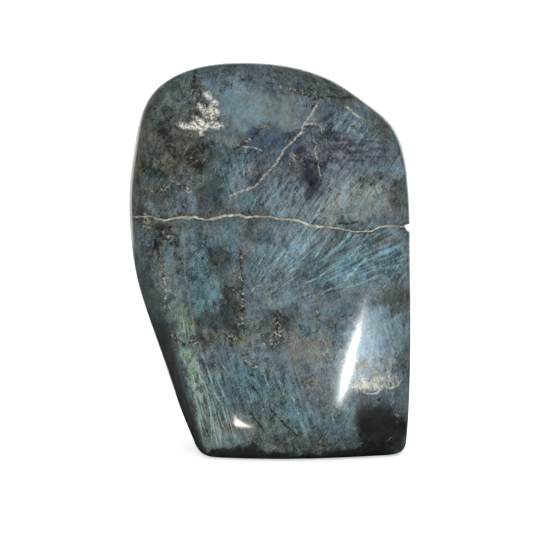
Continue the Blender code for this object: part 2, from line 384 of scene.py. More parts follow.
# Where the minerals lie, with a near-black square low on the right and a band of painted
# shade along the foot. Each patch is a soft ellipse on the drawing: its colour, place (x, up),
# half length, half breadth, turn of its length in degrees, and strength.
SLATE = (0.075, 0.100, 0.110)
SKY = (0.135, 0.205, 0.235)
CYAN = (0.110, 0.230, 0.275)
TEAL = (0.055, 0.125, 0.140)
DEEP = (0.034, 0.054, 0.082)
VIOLET = (0.070, 0.080, 0.096)
OLIVE = (0.045, 0.052, 0.036)
MIST = (0.178, 0.212, 0.210)
MOSS = (0.135, 0.210, 0.150)
UMBER = (0.085, 0.066, 0.036)
OCHRE = (0.190, 0.135, 0.060)
CREAM = (0.480, 0.470, 0.400)
NIGHT = (0.008, 0.010, 0.007)
ASH = (0.128, 0.138, 0.121)
PEWTER = (0.120, 0.155, 0.160)
INK = (0.014, 0.017, 0.024)
PATCHES = (
    (OLIVE, -38, 112, 27, 13, 80, 0.7),
    (UMBER, -32, 108, 12, 8, 60, 0.3),
    (UMBER, -45, 113, 13, 3, 78, 0.4),
    (SKY, -33, 128, 6, 3.5, 60, 0.22),
    (SKY, -30, 123, 6, 2.5, 70, 0.2),
    (SKY, -16, 132, 9, 4, 0, 0.45),
    (SKY, -8, 124, 11, 7, -20, 0.65),
    (SKY, -2.5, 123.5, 4, 5, 0, 0.3),
    (OLIVE, 12, 134, 12, 3.2, -12, 0.4),
    (OLIVE, 25, 130, 7, 3, -30, 0.6),
    (OLIVE, 10, 129, 9, 1.8, -8, 0.35),
    (PEWTER, 7.5, 123, 11, 7, 10, 0.85),
    (MIST, 10, 120.5, 7, 2.6, 20, 0.35),
    (DEEP, 1, 113.5, 12.5, 5.2, 12, 0.9),
    (VIOLET, -4, 104.5, 8, 6.5, 0, 0.85),
    (TEAL, -15, 102, 9, 4.5, 70, 0.55),
    (SKY, -11, 102, 7, 2.2, 75, 0.35),
    (OLIVE, -24, 108, 7, 5, 40, 0.45),
    (UMBER, -25.5, 107, 4, 3, 50, 0.55),
    (NIGHT, -19.6, 95.5, 6.5, 3.2, 95, 0.6),
    (TEAL, -41, 99, 5, 3.5, 60, 0.3),
    (OLIVE, -42, 95, 7, 4, 0, 0.4),
    (VIOLET, -33, 94, 6, 6, 0, 0.35),
    (VIOLET, 15, 105, 14, 10, 60, 0.75),
    (NIGHT, 10.5, 110, 3.2, 2, 30, 0.45),
    (INK, 14.8, 102.5, 4.2, 3.2, 60, 0.8),
    (INK, 14.6, 97.5, 4.2, 3.2, 70, 0.7),
    (DEEP, 21, 121, 10, 6, -20, 0.6),
    (SKY, 30, 117.5, 10, 4.5, -35, 0.6),
    (SKY, 34.5, 113, 9, 3.5, -50, 0.5),
    (DEEP, 24, 116.5, 3.5, 1.5, 0, 0.55),
    (VIOLET, 26, 110, 11, 5, -2, 0.85),
    (VIOLET, 24, 104, 7, 5, 0, 0.45),
    (VIOLET, 36, 110.5, 7, 3.5, 0, 0.45),
    (SKY, 25, 104, 10, 5, 40, 0.25),
    (SKY, 45, 104, 7, 3, 80, 0.5),
    (UMBER, 41.5, 117.5, 3.5, 2, -50, 0.45),
    (OLIVE, 36, 99, 5, 4, 0, 0.5),
    (OLIVE, 45.5, 95, 5, 3.2, 80, 0.65),
    (OCHRE, 38.3, 97.5, 1.6, 1.3, 80, 0.45),
    (MIST, 29, 91.5, 15, 6.5, 12, 0.8),
    (MIST, 26, 98, 7, 4, 0, 0.35),
    (TEAL, 27.5, 85.2, 4.2, 1.5, 10, 0.4),
    (SKY, 5, 92.5, 8, 5.5, 10, 0.45),
    (SKY, -26.5, 91.5, 3.5, 1.8, 90, 0.35),
    (OLIVE, -22, 91, 6, 3.6, 95, 0.5),
    (VIOLET, -19.5, 91.5, 5, 3, 95, 0.55),
    (MIST, -12.5, 91.5, 4.5, 3.2, 60, 0.45),
    (UMBER, -13.5, 91, 4.5, 3.2, 60, 0.3),
    (TEAL, -6.5, 91.5, 4.5, 2, 80, 0.65),
    (SKY, -41.5, 91, 2.2, 1.6, 90, 0.4),
    (MIST, -37.5, 88.5, 3, 1.6, 0, 0.3),
    (NIGHT, -45.5, 87, 3, 1.4, 80, 0.65),
    (OCHRE, -43.8, 82.8, 2.2, 1.6, 0, 0.6),
    (OLIVE, -36, 76, 11, 6.5, 95, 0.4),
    (UMBER, -35, 82, 6, 2.5, 0, 0.5),
    (SKY, -35, 73, 6, 3, 80, 0.3),
    (OCHRE, -39.2, 72, 3, 1.2, 100, 0.4),
    (MIST, -36.8, 66.5, 1.8, 1.2, 0, 0.8),
    (MOSS, -33.5, 58, 14, 3.5, 105, 0.3),
    (MIST, -35.8, 56.5, 4, 1, 95, 0.6),
    (MOSS, -29, 51, 9, 2, 105, 0.5),
    (TEAL, -24, 68, 16, 6, 92, 0.7),
    (DEEP, -20.5, 75, 8, 1.8, 100, 0.55),
    (OLIVE, -18, 66, 9, 1.6, 98, 0.5),
    (DEEP, -26, 60, 7, 2, 80, 0.45),
    (SKY, -24, 75, 8, 4.5, 90, 0.18),
    (CYAN, -22.5, 65, 7, 3.2, 95, 0.12),
    (TEAL, -13.5, 80, 9, 3.5, 70, 0.5),
    (NIGHT, -16.5, 71, 5, 2.2, 85, 0.5),
    (NIGHT, -13.5, 54, 11, 3.6, 95, 0.6),
    (NIGHT, -20.5, 50, 7, 3.6, 0, 0.6),
    (UMBER, -9.7, 62, 13.5, 1.1, 92, 0.6),
    (SKY, 6, 75, 16, 8, 50, 0.55),
    (TEAL, 25, 71, 15, 7, 35, 0.5),
    (SKY, 38, 77, 9, 6, 0, 0.4),
    (CYAN, 36, 70, 15, 7, 15, 0.38),
    (OLIVE, 16, 65, 4, 2.5, 20, 0.35),
    (UMBER, 22.5, 77.5, 3.5, 2, 0, 0.25),
    (TEAL, -2, 72, 9, 4, 75, 0.35),
    (MIST, -0.5, 62, 3.5, 2, 90, 0.35),
    (SKY, 5.5, 58, 8.5, 4, 0, 0.55),
    (DEEP, 8, 56, 5, 2.5, 0, 0.35),
    (OLIVE, 43.5, 58, 7.5, 4.5, 0, 0.7),
    (TEAL, 28, 57, 9, 3.5, 0, 0.4),
    (NIGHT, -34.5, 46, 6, 2.2, -20, 0.5),
    (UMBER, -20.5, 43.5, 6, 2, 0, 0.55),
    (UMBER, -6, 44.5, 6, 2.6, -5, 0.4),
    (MIST, -5, 44, 5, 2.2, 0, 0.25),
    (OLIVE, 2.5, 47.5, 6.5, 3.2, 90, 0.55),
    (TEAL, 17, 48, 9, 5, 0, 0.45),
    (MOSS, -27, 33, 12, 3.2, 102, 0.75),
    (MOSS, -22, 16, 12, 5.5, 100, 0.3),
    (TEAL, -12, 27, 12, 8, 70, 0.55),
    (SKY, 2, 31, 14, 7, -35, 0.35),
    (TEAL, 4, 19, 17, 10, -50, 0.55),
    (OLIVE, 2, 13, 16, 6, -20, 0.35),
    (ASH, 9.5, 43, 7, 3.6, -35, 0.8),
    (ASH, 7.5, 40, 4.5, 4, -80, 0.7),
    (ASH, 15, 39, 5.5, 3, -35, 0.75),
    (MIST, 5.5, 44, 5, 2, -20, 0.3),
    (OCHRE, 19, 44.5, 4, 1.2, -60, 0.25),
    (MIST, 18, 36, 4.5, 4, 0, 0.45),
    (SKY, 38, 45, 11, 10, 0, 0.85),
    (MIST, 37, 33, 8.5, 7, 0, 0.8),
    (CREAM, 38, 29, 8, 3.2, 0, 0.38),
    (DEEP, 37.5, 22.5, 9.5, 2.8, 0, 0.65),
    (SKY, 45.5, 24, 1.6, 2.4, 0, 0.5),
    (UMBER, 15, 29.5, 3.6, 2.2, 0, 0.45),
    (TEAL, 24, 14, 6, 7, 0, 0.4),
    (TEAL, 46.5, 38, 8, 1.4, 92, 0.45),
    (OLIVE, 10, 7, 22, 3.5, 0, 0.55),
    # A near-black square low on the right.
    (NIGHT, 39.5, 10.5, 10.5, 10.5, 0, 0.93),
    (NIGHT, 34.5, 14.5, 5, 5.5, 0, 0.85),
    # Painted shade: a near-black band along the foot, standing in for the dark floor mirrored in
    # its rounding.
    (NIGHT, 5, 0, 50, 4.4, 0, 0.95),
    (OLIVE, -48, 98, 26, 3, 86, 0.5),
)

# Softness of a patch's edge as a share of its size, how deep it reaches in mm, and the
# waves that bend all the patches: their length and how far they push, in mm.
PATCH_EDGE = 0.28
PATCH_DEPTH = 26.0
WARPS = ((9.0, 1.7), (3.2, 0.8), (1.5, 0.45))

# Where the thin layers flash: the fan that opens from low on the left, the layers that
# slant up to the right, and those that fall steeply in the lower part. Then where the stone
# is mottled, where it is calm, and where its flash looks metallic. Each patch has a full
# strength of 1 in the place of a colour.
FAN_PATCHES = (
    (1, 8, 74, 17, 10, 45, 0.9),
    (1, 30, 71, 18, 9, 25, 1),
    (1, 6, 57, 9, 4, 0, 0.6),
)
SLANT_PATCHES = (
    (1, 27, 117, 12, 7, -35, 0.5),
    (1, 10, 94, 18, 8, 0, 0.8),
    (1, -1, 108, 12, 9, 0, 0.4),
    (1, 28, 100, 14, 8, 0, 0.6),
    (1, 26, 78, 12, 6, 0, 0.6),
    (1, 45, 104, 7, 3, 80, 0.8),
    (1, 45, 68, 5, 4, 0, 0.9),
)
FALL_PATCHES = (
    (1, -23, 24, 20, 7, 102, 1),
    (1, -12, 24, 18, 7, 100, 0.7),
    (1, 6, 22, 17, 12, -50, 0.7),
    (1, -22, 66, 16, 6, 92, 0.4),
    (1, -14, 102, 12, 5, 80, 0.6),
    (1, 42, 42, 9, 5, 90, 0.4),
)
MOTTLE_PATCHES = (
    (1, -37, 112, 28, 14, 80, 0.9),
    (1, -36, 74, 20, 8, 92, 0.9),
    (1, -23, 66, 18, 6, 92, 0.6),
    (1, -22, 22, 22, 8, 102, 0.8),
    (1, 4, 20, 18, 9, -50, 0.6),
    (1, 24, 113, 13, 9, -10, 0.7),
    (1, -2, 46, 36, 4, 0, 0.8),
    (1, -4, 105, 8, 7, 0, 0.7),
    (1, -10, 60, 16, 3, 92, 0.9),
    (1, 12, 131, 20, 4, -8, 0.7),
    (1, 14, 105, 14, 9, 60, 0.7),
    (1, 38, 97, 10, 6, 0, 0.7),
    (1, 37, 33, 9, 8, 0, 0.8),
    (1, 5, 6, 46, 4.5, 0, 0.8),
    (1, -28, 38, 14, 3, 102, 0.5),
    (1, -6, 36, 6, 4, 0, 0.9),
    (1, 15, 28, 5, 4, 0, 0.9),
)
CALM_PATCHES = (
    (1, -4, 124, 15, 8, 0, 0.45),
    (1, 12, 124, 8, 6, 0, 0.3),
    (1, 28, 92, 15, 6, 10, 0.3),
    (1, 10, 41, 9, 4.5, -35, 0.35),
    (1, 38, 42, 10, 10, 0, 0.4),
)
FLASH_PATCHES = (
    (1, 31, 42, 17, 11, 70, 1),
    (1, 25, 24, 9, 7, 70, 0.6),
)


def painted(patches, start, x, up, depth):
    """Colours, or strengths, with each patch laid over the ones before it."""
    laid = np.array(start, float) + np.zeros((len(x), 1))
    for colour, at_x, at_up, half_length, half_breadth, turn, strength in patches:
        c = math.cos(math.radians(turn))
        s = math.sin(math.radians(turn))
        along = ((x - at_x) * c + (up - at_up) * s) / half_length
        aside = ((up - at_up) * c - (x - at_x) * s) / half_breadth
        away = np.sqrt(along**2 + aside**2 + (depth / PATCH_DEPTH) ** 2)
        cover = np.clip((1.0 + PATCH_EDGE - away) / (2.0 * PATCH_EDGE), 0.0, 1.0)
        cover = strength * cover * cover * (3.0 - 2.0 * cover)
        laid = laid * (1.0 - cover[:, None]) + np.array(colour, float) * cover[:, None]
    return laid


# The far side and the flanks carry the same minerals, laid at random.
ROUND_COLOURS = (SLATE, SKY, TEAL, DEEP, VIOLET, OLIVE, MIST, MOSS, UMBER, NIGHT, TEAL, SKY)
ROUND_PATCHES = 90
FRONT_ENDS = 27.0
FRONT_FADE = 9.0
MARKS_END = 11.0
MARKS_FADE = 5.0
FACE_AT = -20.0
FLANK_DRIFT = (0.6, 0.4)
FAR_SLANT = 0.4
FAR_FALL = 0.5
FAR_MOTTLE = 0.5
LEAST_MOTTLE = 0.25
draw = np.random.default_rng(7)
round_patches = [
    (
        ROUND_COLOURS[draw.integers(len(ROUND_COLOURS))],
        draw.uniform(-52.0, 52.0),
        draw.uniform(0.0, HEIGHT),
        draw.uniform(5.0, 16.0),
        draw.uniform(2.5, 8.0),
        draw.uniform(30.0, 110.0),
        draw.uniform(0.3, 0.75),
    )
    for _ in range(ROUND_PATCHES)
]
x, y, z = ground.T
up = z * DRAWING_STRETCH + DRAWING_RISE
depth = np.maximum(y - front_face(x, z), 0.0)
warped_x, warped_up = x.copy(), up.copy()
for seed, (length, reach) in enumerate(WARPS):
    warped_x += reach * drift(x, y, z, length, 100 + seed)
    warped_up += reach * drift(x, y, z, length, 200 + seed)
front = np.clip((FRONT_ENDS - depth) / FRONT_FADE, 0.0, 1.0)[:, None]
behind_face = y - FACE_AT
flanks_x = warped_x + FLANK_DRIFT[0] * behind_face
flanks_up = warped_up + FLANK_DRIFT[1] * behind_face
tint = painted(round_patches, SLATE, flanks_x, flanks_up, 0.0 * depth)
tint = tint + (painted(PATCHES, SLATE, warped_x, warped_up, depth) - tint) * front


def keep(name, values):
    """Stores one value, or one colour, at each point of the stone."""
    kind = "FLOAT_COLOR" if values.shape[1] > 1 else "FLOAT"
    kept = stone_mesh.attributes.new(name, kind, "POINT")
    if kind == "FLOAT":
        kept.data.foreach_set("value", values.astype(np.float32).ravel())
    else:
        opaque = np.concatenate([values, np.ones((len(values), 1))], axis=1)
        kept.data.foreach_set("color", opaque.astype(np.float32).ravel())


keep("tint", np.clip(tint, 0.0, 1.0))
keep("fan", painted(FAN_PATCHES, 0.0, warped_x, warped_up, depth))
slanting = painted(SLANT_PATCHES, 0.0, warped_x, warped_up, depth)
falling = painted(FALL_PATCHES, 0.0, warped_x, warped_up, depth)
keep("slant", np.maximum(slanting, FAR_SLANT * (1.0 - front)))
keep("fall", np.maximum(falling, FAR_FALL * (1.0 - front)))
mottled = painted(MOTTLE_PATCHES, LEAST_MOTTLE, warped_x, warped_up, depth)
keep("mottle", mottled * front + FAR_MOTTLE * (1.0 - front))
keep("calm", painted(CALM_PATCHES, 0.0, warped_x, warped_up, depth))
keep("flash", painted(FLASH_PATCHES, 0.0, warped_x, warped_up, depth))
keep("front", np.clip((MARKS_END - depth) / MARKS_FADE, 0.0, 1.0)[:, None])
keep("crack", (z - crack_plane(x, y))[:, None])

# Painted shade: the lower left flank, where the surface turns to face left, is darkened in
# its colour. This stands in for the dark things its rounding mirrors, and for the layers'
# flash, which goes out there.
FLANK_FROM = 0.34
FLANK_OVER = 0.30
FLANK_TOP = 82.0
FLANK_RISE = 40.0
FLANK_LEAST = 0.15
normals = np.empty(len(ground) * 3, np.float32)
stone_mesh.vertex_normals.foreach_get("vector", normals)
leftward = -normals.reshape(-1, 3)[:, 0]
painted_flank_shade = np.clip((leftward - FLANK_FROM) / FLANK_OVER, 0.0, 1.0)
painted_flank_shade = painted_flank_shade * np.clip((FLANK_TOP - z) / FLANK_RISE, FLANK_LEAST, 1.0)
keep("painted_flank_shade", painted_flank_shade[:, None])
breadths = np.array(CRACK_BREADTHS)
keep("crack_breadth", np.interp(x, breadths[:, 0], breadths[:, 1])[:, None])

# Lines and dots drawn into the stone, each (points, width), with a few painted highlights among
# them: glints where the crown and the upper right shoulder turn. They are all colour, under
# the polish, and lie on the drawing of the front.
CREAM_LINES_AND_GLINTS = (
    (((17, 126.5), (15, 123), (12, 119), (11, 116), (8.5, 113.5)), 0.8),
    (((8.5, 113.5), (5.2, 110.3), (4, 108), (2, 105), (0, 103)), 0.7),
    (((0, 103), (-5, 97.5), (-9, 96), (-14, 94)), 0.6),
    (((11.3, 116.8), (10.9, 115.8)), 1.2),
    (((15.5, 119.5), (17.5, 118.5), (18.5, 116)), 0.4),
    (((12, 118.8), (15, 119.2)), 0.6),
    (((15.3, 113.5), (16.6, 112), (15.8, 110.3), (16.3, 108), (16.7, 106.8)), 0.35),
    (((17, 105), (17.5, 102.5), (18, 101)), 0.35),
    (((7, 108), (8, 107.5), (9, 106.2)), 0.3),
    (((-9.5, 111.3), (-6, 111), (-2.5, 110)), 0.38),
    (((-8.3, 110.5), (-8.3, 109.3)), 0.3),
    (((28.5, 100), (29.5, 98.7)), 0.4),
    (((24, 103.9), (24.2, 103.6)), 0.55),
    (((27, 102.8), (27.2, 102.5)), 0.45),
    # Painted highlight: a glint along the crease of the upper right shoulder.
    (((27, 125), (28.5, 124), (29.5, 122.5), (31.5, 121.3)), 1.15),
    # Painted highlights: two small glints on the crown.
    (((7.2, 131.4), (7.5, 131)), 0.6),
    (((3.8, 132.2), (3.9, 132)), 0.5),
    (((-29, 95.3), (-27, 95.1)), 0.4),
    (((-41.2, 95.5), (-40.6, 95.5)), 0.45),
    (((-33.9, 99.1), (-33.7, 98.9)), 0.45),
    (((-36.7, 65), (-36.3, 61), (-36.2, 57)), 0.55),
    (((-14.4, 75.9), (-14.2, 75.7)), 0.6),
    (((-14.2, 45.3), (-13.7, 45.2)), 0.85),
    (((-13.1, 45.1), (-12.8, 44.9)), 0.7),
    (((-11.7, 44.4), (-11.2, 44)), 0.8),
    (((-12.5, 68.6), (-12.4, 68.3)), 0.5),
    (((-12, 65.4), (-11.9, 65)), 0.45),
    (((-12.5, 61.6), (-12.4, 61.2)), 0.45),
    (((-2.3, 42.6), (-1.8, 42.4)), 0.7),
    (((1.9, 42.6), (2.3, 42.4)), 0.7),
    (((29, 27), (31, 27.3), (33, 25), (36, 24), (38, 24.5), (40, 27)), 0.75),
    (((40, 27), (42, 26), (45, 26.5), (46.5, 28.5)), 0.85),
)
TAN_LINES_AND_GLINT = (
    (((-30.3, 84), (-29.8, 79), (-29.7, 73), (-29.5, 67), (-28.5, 61)), 0.42),
    (((-28.5, 61), (-27.7, 55), (-26.7, 50), (-26, 44)), 0.42),
    (((20, 86.6), (24, 87.6), (30, 87.5)), 0.6),
    (((17.5, 47.5), (18.5, 44.5), (20, 42)), 0.7),
    (((20.5, 44), (22, 40.5)), 0.45),
    (((-38, 85), (-34, 84.4)), 0.5),
    # Painted highlight: the faint end of the shoulder's glint.
    (((31.5, 121.3), (36, 119.5)), 0.3),
    (((-18, 22), (-15, 20.5)), 0.35),
    (((0, 60), (0.2, 55)), 0.5),
    (((8, 48.5), (12, 45), (17, 40.5), (21, 36.5)), 0.4),
    (((32, 6), (32.8, 6.6)), 0.22), (((41.4, 6.4), (43.2, 8)), 0.22),
)
DARK_LINES = (
    (((-26, 138.5), (-26.5, 132)), 1),
    (((-25.8, 130.5), (-25.2, 128)), 0.4),
    (((-33, 118.5), (-31, 116.5)), 0.45),
    (((-37.6, 124.5), (-36, 121.5), (-35, 119)), 0.35),
    (((-12, 110), (-7, 113.8), (0, 119.5)), 0.55),
    (((12, 118.3), (15, 118.2), (17.5, 118)), 0.35),
    (((-10, 134.5), (-8, 134.3)), 0.55),
    (((-1, 133.4), (1, 133.3)), 0.35),
    (((20, 128.5), (25, 128.2), (29, 128)), 0.5),
    (((7.4, 130.8), (7.9, 130.4)), 0.7),
    (((15, 127), (17, 128.5)), 0.6),
    (((14.5, 124.5), (16.5, 126.5)), 0.7),
    (((10.2, 106), (11, 104.7)), 0.35),
    (((40.5, 118), (42, 117.5)), 0.6),
    (((46, 109.5), (43.5, 106)), 0.35),
    (((35, 98.2), (36.5, 97.8)), 0.6),
    (((-40, 78.5), (-40, 76)), 0.75),
    (((-33, 78), (-32, 76)), 0.8),
    (((-29.5, 88), (-29, 85)), 0.4),
    (((-6.3, 28), (-4, 25)), 1),
    (((0, 20), (3, 16.5), (8, 11.5), (10, 9.5)), 0.75),
    (((-7, 19), (-4.5, 15), (-1.5, 11)), 0.7),
    (((-4, 15), (-3, 13)), 0.4),
    (((23, 50), (23.2, 44)), 0.35),
    (((25, 52), (26.5, 52.2)), 0.6),
    (((27.5, 52.2), (29, 52.2)), 0.55),
    (((16.8, 54), (16.8, 51.5)), 0.8),
    (((1, 45), (3, 48), (2.6, 52.5)), 0.9),
    (((-10, 74.5), (-9.5, 66), (-9.6, 58), (-9.4, 50.5)), 0.7),
    (((-30.5, 42.3), (-29.5, 41.5)), 0.7),
    (((30.5, 81.2), (36, 81.2), (38, 82.4)), 0.35),
    (((24, 84.6), (28, 84.3), (31, 85.3)), 0.7),
    (((-16, 46), (-14, 44.4), (-11, 43.6)), 0.6),
    (((-33.7, 45.2), (-32, 43.2)), 0.6),
)
DARK_DOTS = (
    (-28, 126.3, 0.8), (-18, 128.7, 0.6), (-24.5, 128.8, 0.6), (-23.5, 126.5, 0.8),
    (-19.3, 125.2, 0.6), (-25.5, 123, 0.8), (-20, 121.8, 0.6), (-23.7, 114.7, 1.2),
    (-28, 117, 0.8), (-18, 112.3, 0.5), (-20, 112.5, 0.6), (-22.7, 110.6, 0.8),
    (-26, 109, 0.7), (-36.3, 125.3, 0.6), (-36, 123.8, 0.7), (-34.5, 121, 0.6),
    (-37.5, 115.5, 0.6), (-41, 106.7, 0.6), (-39, 106.7, 0.6), (-44, 102.3, 0.8),
    (-37.3, 95.5, 0.9), (-39.3, 95.5, 0.8), (-25, 104.5, 1), (-23.6, 104.3, 0.8),
    (12.3, 129.2, 0.7), (9, 130, 0.6), (-34.8, 82.8, 1.1), (-36, 80.3, 1),
    (-38, 80, 0.9), (-34.5, 77.2, 0.8), (-31.3, 72, 0.9), (-36.3, 78.7, 0.8),
    (-22, 80, 0.8), (-23.2, 72.5, 0.8), (44, 93, 0.7), (-6, 31.5, 1.2),
    (10.5, 49, 0.8), (13.5, 24.5, 0.8), (38.5, 22, 1.3), (-13.3, 41.8, 0.8),
    (3.3, 50.3, 0.9), (-32.5, 43.3, 0.9), (-30, 90, 0.9), (-29, 93, 0.7),
)
PURPLE_BANDS = (
    (((20.5, 113.6), (31, 113.4)), 1.3), (((24, 111.9), (34.5, 112)), 1.3),
    (((20.5, 110.7), (26.5, 110.4)), 1.8), (((25.5, 109.2), (34.5, 109.4)), 1.8),
    (((17, 116.3), (27, 115.6)), 1.6), (((27, 106.4), (33, 106.2)), 1.4),
    (((33, 113.2), (41, 112.6)), 1.2), (((34.5, 110.6), (42, 110.2)), 1.3),
    (((31, 107.9), (40, 107.6)), 1.2),
    (((8.5, 109), (13, 111)), 3), (((12.5, 104.5), (15, 101.5)), 2.6),
    (((18, 120), (23, 123)), 1.6),
)
LILAC_BANDS = (
    (((21, 112.5), (27.5, 112.6)), 0.9), (((28, 110.6), (33, 110.7)), 0.6),
    (((22, 108.9), (28, 108)), 0.7), (((12.5, 119.3), (15.2, 119.5)), 1.2),
    (((13.8, 120.6), (15.5, 122.6)), 1.3), (((-26, 117.5), (-20, 116.5)), 0.8),
    (((44, 105.5), (46.5, 108)), 1.2), (((5.5, 36.5), (5.5, 46.5)), 0.6),
)
SPECKLED_BANDS = (
    (((-10.2, 76), (-9.8, 66), (-9.4, 58), (-9, 50)), 2.2),
    (((-37, 81), (-34, 79)), 1.8),
    (((-16, 44.8), (-11, 44.2)), 2.4),
    (((1, 43.5), (2.8, 48.5), (2.6, 53.5)), 3.6),
    (((4, 47), (2, 44)), 3.4),
    (((-34, 45), (-30, 42), (-25, 42.5)), 2.6),
    (((-26, 131), (-24, 126), (-19, 121)), 5.5),
    (((-27, 107), (-25, 105)), 2.2),
    (((-43.5, 87), (-43, 82)), 3),
    (((-37.2, 67), (-36.4, 53)), 2.2),
    (((16.5, 54.5), (17, 51)), 2.4),
    (((14, 28.5), (16, 26)), 3),
    (((-9, 38), (-5, 34)), 3.6),
    (((-10, 49.5), (-8, 46.5)), 2.4),
    (((-38, 96), (-32, 98), (-27, 96)), 2.6),
    (((-12, 110.5), (-6, 114.5), (0, 119.5)), 1.6),
    (((45.2, 17.5), (45.6, 14)), 1.4),
    (((8, 109), (12, 104)), 1.6),
    (((-7, 103), (-5, 102)), 1.2),
    (((9, 131), (15, 128.5), (19, 128.3)), 1.6),
)
MICA_BANDS = (
    (((-28, 108), (-24, 104)), 5),
    (((-26, 110), (-20, 112)), 4),
    (((-38.5, 81.5), (-35, 80), (-32.5, 77.5)), 5),
    (((-40.5, 79), (-39.5, 75)), 3),
    (((-38, 118), (-33, 108)), 4),
    (((-44, 104), (-36, 101)), 3),
)
SKY_STREAKS = (
    (((1.5, 70.2), (5.8, 75.8)), 0.75), (((4, 69.5), (7, 75)), 0.45),
    (((15.5, 72), (17.5, 75.2)), 0.85), (((17.5, 75.2), (21.5, 82.3)), 0.5),
    (((24, 76.3), (26.5, 79), (28.5, 82)), 0.75), (((24, 76), (16.5, 70.8)), 0.4),
    (((28.5, 78), (30, 81)), 0.45), (((26.5, 64.5), (28.5, 67.5)), 1),
    (((28, 66), (31, 69.5), (33.8, 72.2)), 0.85), (((12, 63.7), (17, 65.5)), 0.5),
    (((17, 65.5), (20, 68), (27, 72)), 0.45), (((25.5, 61.3), (28, 62.3)), 0.55),
    (((28, 62.3), (33, 64), (37, 65.5)), 0.5), (((4.5, 68), (12.5, 72.8)), 0.4),
    (((5.5, 67.5), (10, 69)), 0.35), (((44, 68), (45.5, 70)), 0.6),
    (((45, 66.5), (47, 69)), 0.5), (((40.5, 67), (41.5, 69)), 0.5),
    (((18, 59.8), (22, 62)), 0.45), (((-6.5, 60.5), (-5, 62.5)), 0.7),
    (((-5, 62.5), (-3, 63)), 0.45), (((-4, 70), (-1, 74.5)), 0.4),
    (((8.5, 76), (13, 83.5)), 0.45), (((11, 75), (14.5, 81)), 0.35),
    (((-2, 32), (-1, 29.5), (0, 26.5)), 0.4), (((-6, 25.5), (-5.2, 22)), 0.45),
    (((9.5, 20), (10.5, 16), (12, 12.5)), 0.4), (((3, 30), (4.5, 28)), 0.4),
    (((-8, 23), (-7, 21.5)), 0.35), (((8, 24), (9, 21.5)), 0.4),
    (((21.8, 17), (22.8, 14)), 0.4), (((-12, 10), (-10.5, 7)), 0.4),
    (((23, 117), (25, 120)), 0.5), (((27, 115.5), (28.5, 118.5)), 0.45),
    (((42, 103), (44, 105)), 0.5), (((15.5, 86.5), (18, 88.5)), 0.45),
    (((-6.5, 89), (-4, 94)), 0.4), (((-8.5, 100), (-9.5, 106)), 0.45),
)
MOSS_STREAKS = (
    (((-24.5, 24), (-24, 21), (-23.3, 16.5)), 0.5),
    (((-21.5, 22), (-20.3, 17), (-19, 10), (-18, 5)), 0.45),
    (((-18, 18.5), (-17, 15), (-16, 12.5)), 0.4),
    (((-15, 20), (-14.3, 15.5)), 0.4),
    (((-30, 36.5), (-29, 34)), 0.45), (((-28.5, 40), (-27, 35)), 0.5),
    (((-22, 34.5), (-19.5, 27), (-18.5, 23)), 0.5),
    (((-25, 36), (-24.7, 32), (-24, 28.5)), 0.5),
    (((-24, 39), (-22.5, 36)), 0.4), (((-16.8, 35.5), (-14.5, 32)), 0.45),
    (((-27, 33), (-25.8, 24), (-23, 12)), 0.45),
    (((-30.5, 52), (-29.2, 44)), 0.6), (((-28.8, 50), (-27.8, 43)), 0.4),
    (((-26.5, 38), (-23, 30), (-20.6, 20), (-20.2, 6)), 0.45),
    (((-24.5, 31), (-20.5, 24), (-17.8, 14), (-17, 6)), 0.45),
    (((-27, 28), (-25, 18), (-23, 5)), 0.4),
    (((-20, 26), (-16.5, 20.5), (-14.8, 14)), 0.4),
    (((-18.5, 30), (-15, 22)), 0.3), (((-14, 16), (-12, 7)), 0.3),
)

# The glassy skin, and the layers under it.
GROUND_ROUGHNESS = 0.36
ROUGHNESS_SPREAD = 0.4
GROUND_SPECULAR = 0.25
COAT_ROUGHNESS = 0.12
STONE_INDEX = 1.54
FLASH_METAL = 0.5
GRAIN_BUMP_MM = 0.05

material = bpy.data.materials.new("labradorite_polished")
material.use_nodes = True
tree = material.node_tree


def put(tree, kind, feeds=None, **settings):
    """Adds a node, sets it, and feeds its inputs from other sockets or plain values."""
    made = tree.nodes.new(kind)
    for name, value in settings.items():
        setattr(made, name, value)
    for name, value in (feeds or {}).items():
        if isinstance(value, bpy.types.NodeSocket):
            tree.links.new(value, made.inputs[name])
        else:
            made.inputs[name].default_value = value
    return made


def sums(tree, operation, a, b=0.0, c=0.0, clamp=False):
    """One sum with two or three values."""
    feeds = {0: a, 1: b, 2: c}
    made = put(tree, "ShaderNodeMath", feeds, operation=operation, use_clamp=clamp)
    return made.outputs[0]


def arrows(tree, operation, a, b=(0.0, 0.0, 0.0), scale=1.0):
    """One sum with places or colours; it gives a plain value where it measures."""
    feeds = {0: a, "Scale": scale} if operation == "SCALE" else {0: a, 1: b}
    made = put(tree, "ShaderNodeVectorMath", feeds, operation=operation)
    plain = operation in ("DOT_PRODUCT", "LENGTH", "DISTANCE")
    return made.outputs["Value" if plain else "Vector"]


def noise(tree, place, scale, detail=2.0, roughness=0.5):
    """A cloudy random value around a half; the scale is in waves for each unit of place."""
    feeds = {"Vector": place, "Scale": scale, "Detail": detail, "Roughness": roughness}
    return put(tree, "ShaderNodeTexNoise", feeds).outputs["Fac"]


def mixed(tree, share, a, b):
    """One colour laid over another by a share from 0 to 1."""
    made = put(tree, "ShaderNodeMix", {0: share, 6: a, 7: b}, data_type="RGBA")
    return made.outputs[2]


def kept_value(tree, name, output="Fac"):
    """What keep() has stored on the stone under this name."""
    return put(tree, "ShaderNodeAttribute", attribute_name=name).outputs[output]


def new_group(name, inputs, output):
    """A node group with these inputs and its one output."""
    group = bpy.data.node_groups.new(name, "ShaderNodeTree")
    for label, kind in inputs:
        group.interface.new_socket(label, in_out="INPUT", socket_type="NodeSocket" + kind)
    group.interface.new_socket(output[0], in_out="OUTPUT", socket_type="NodeSocket" + output[1])
    return group


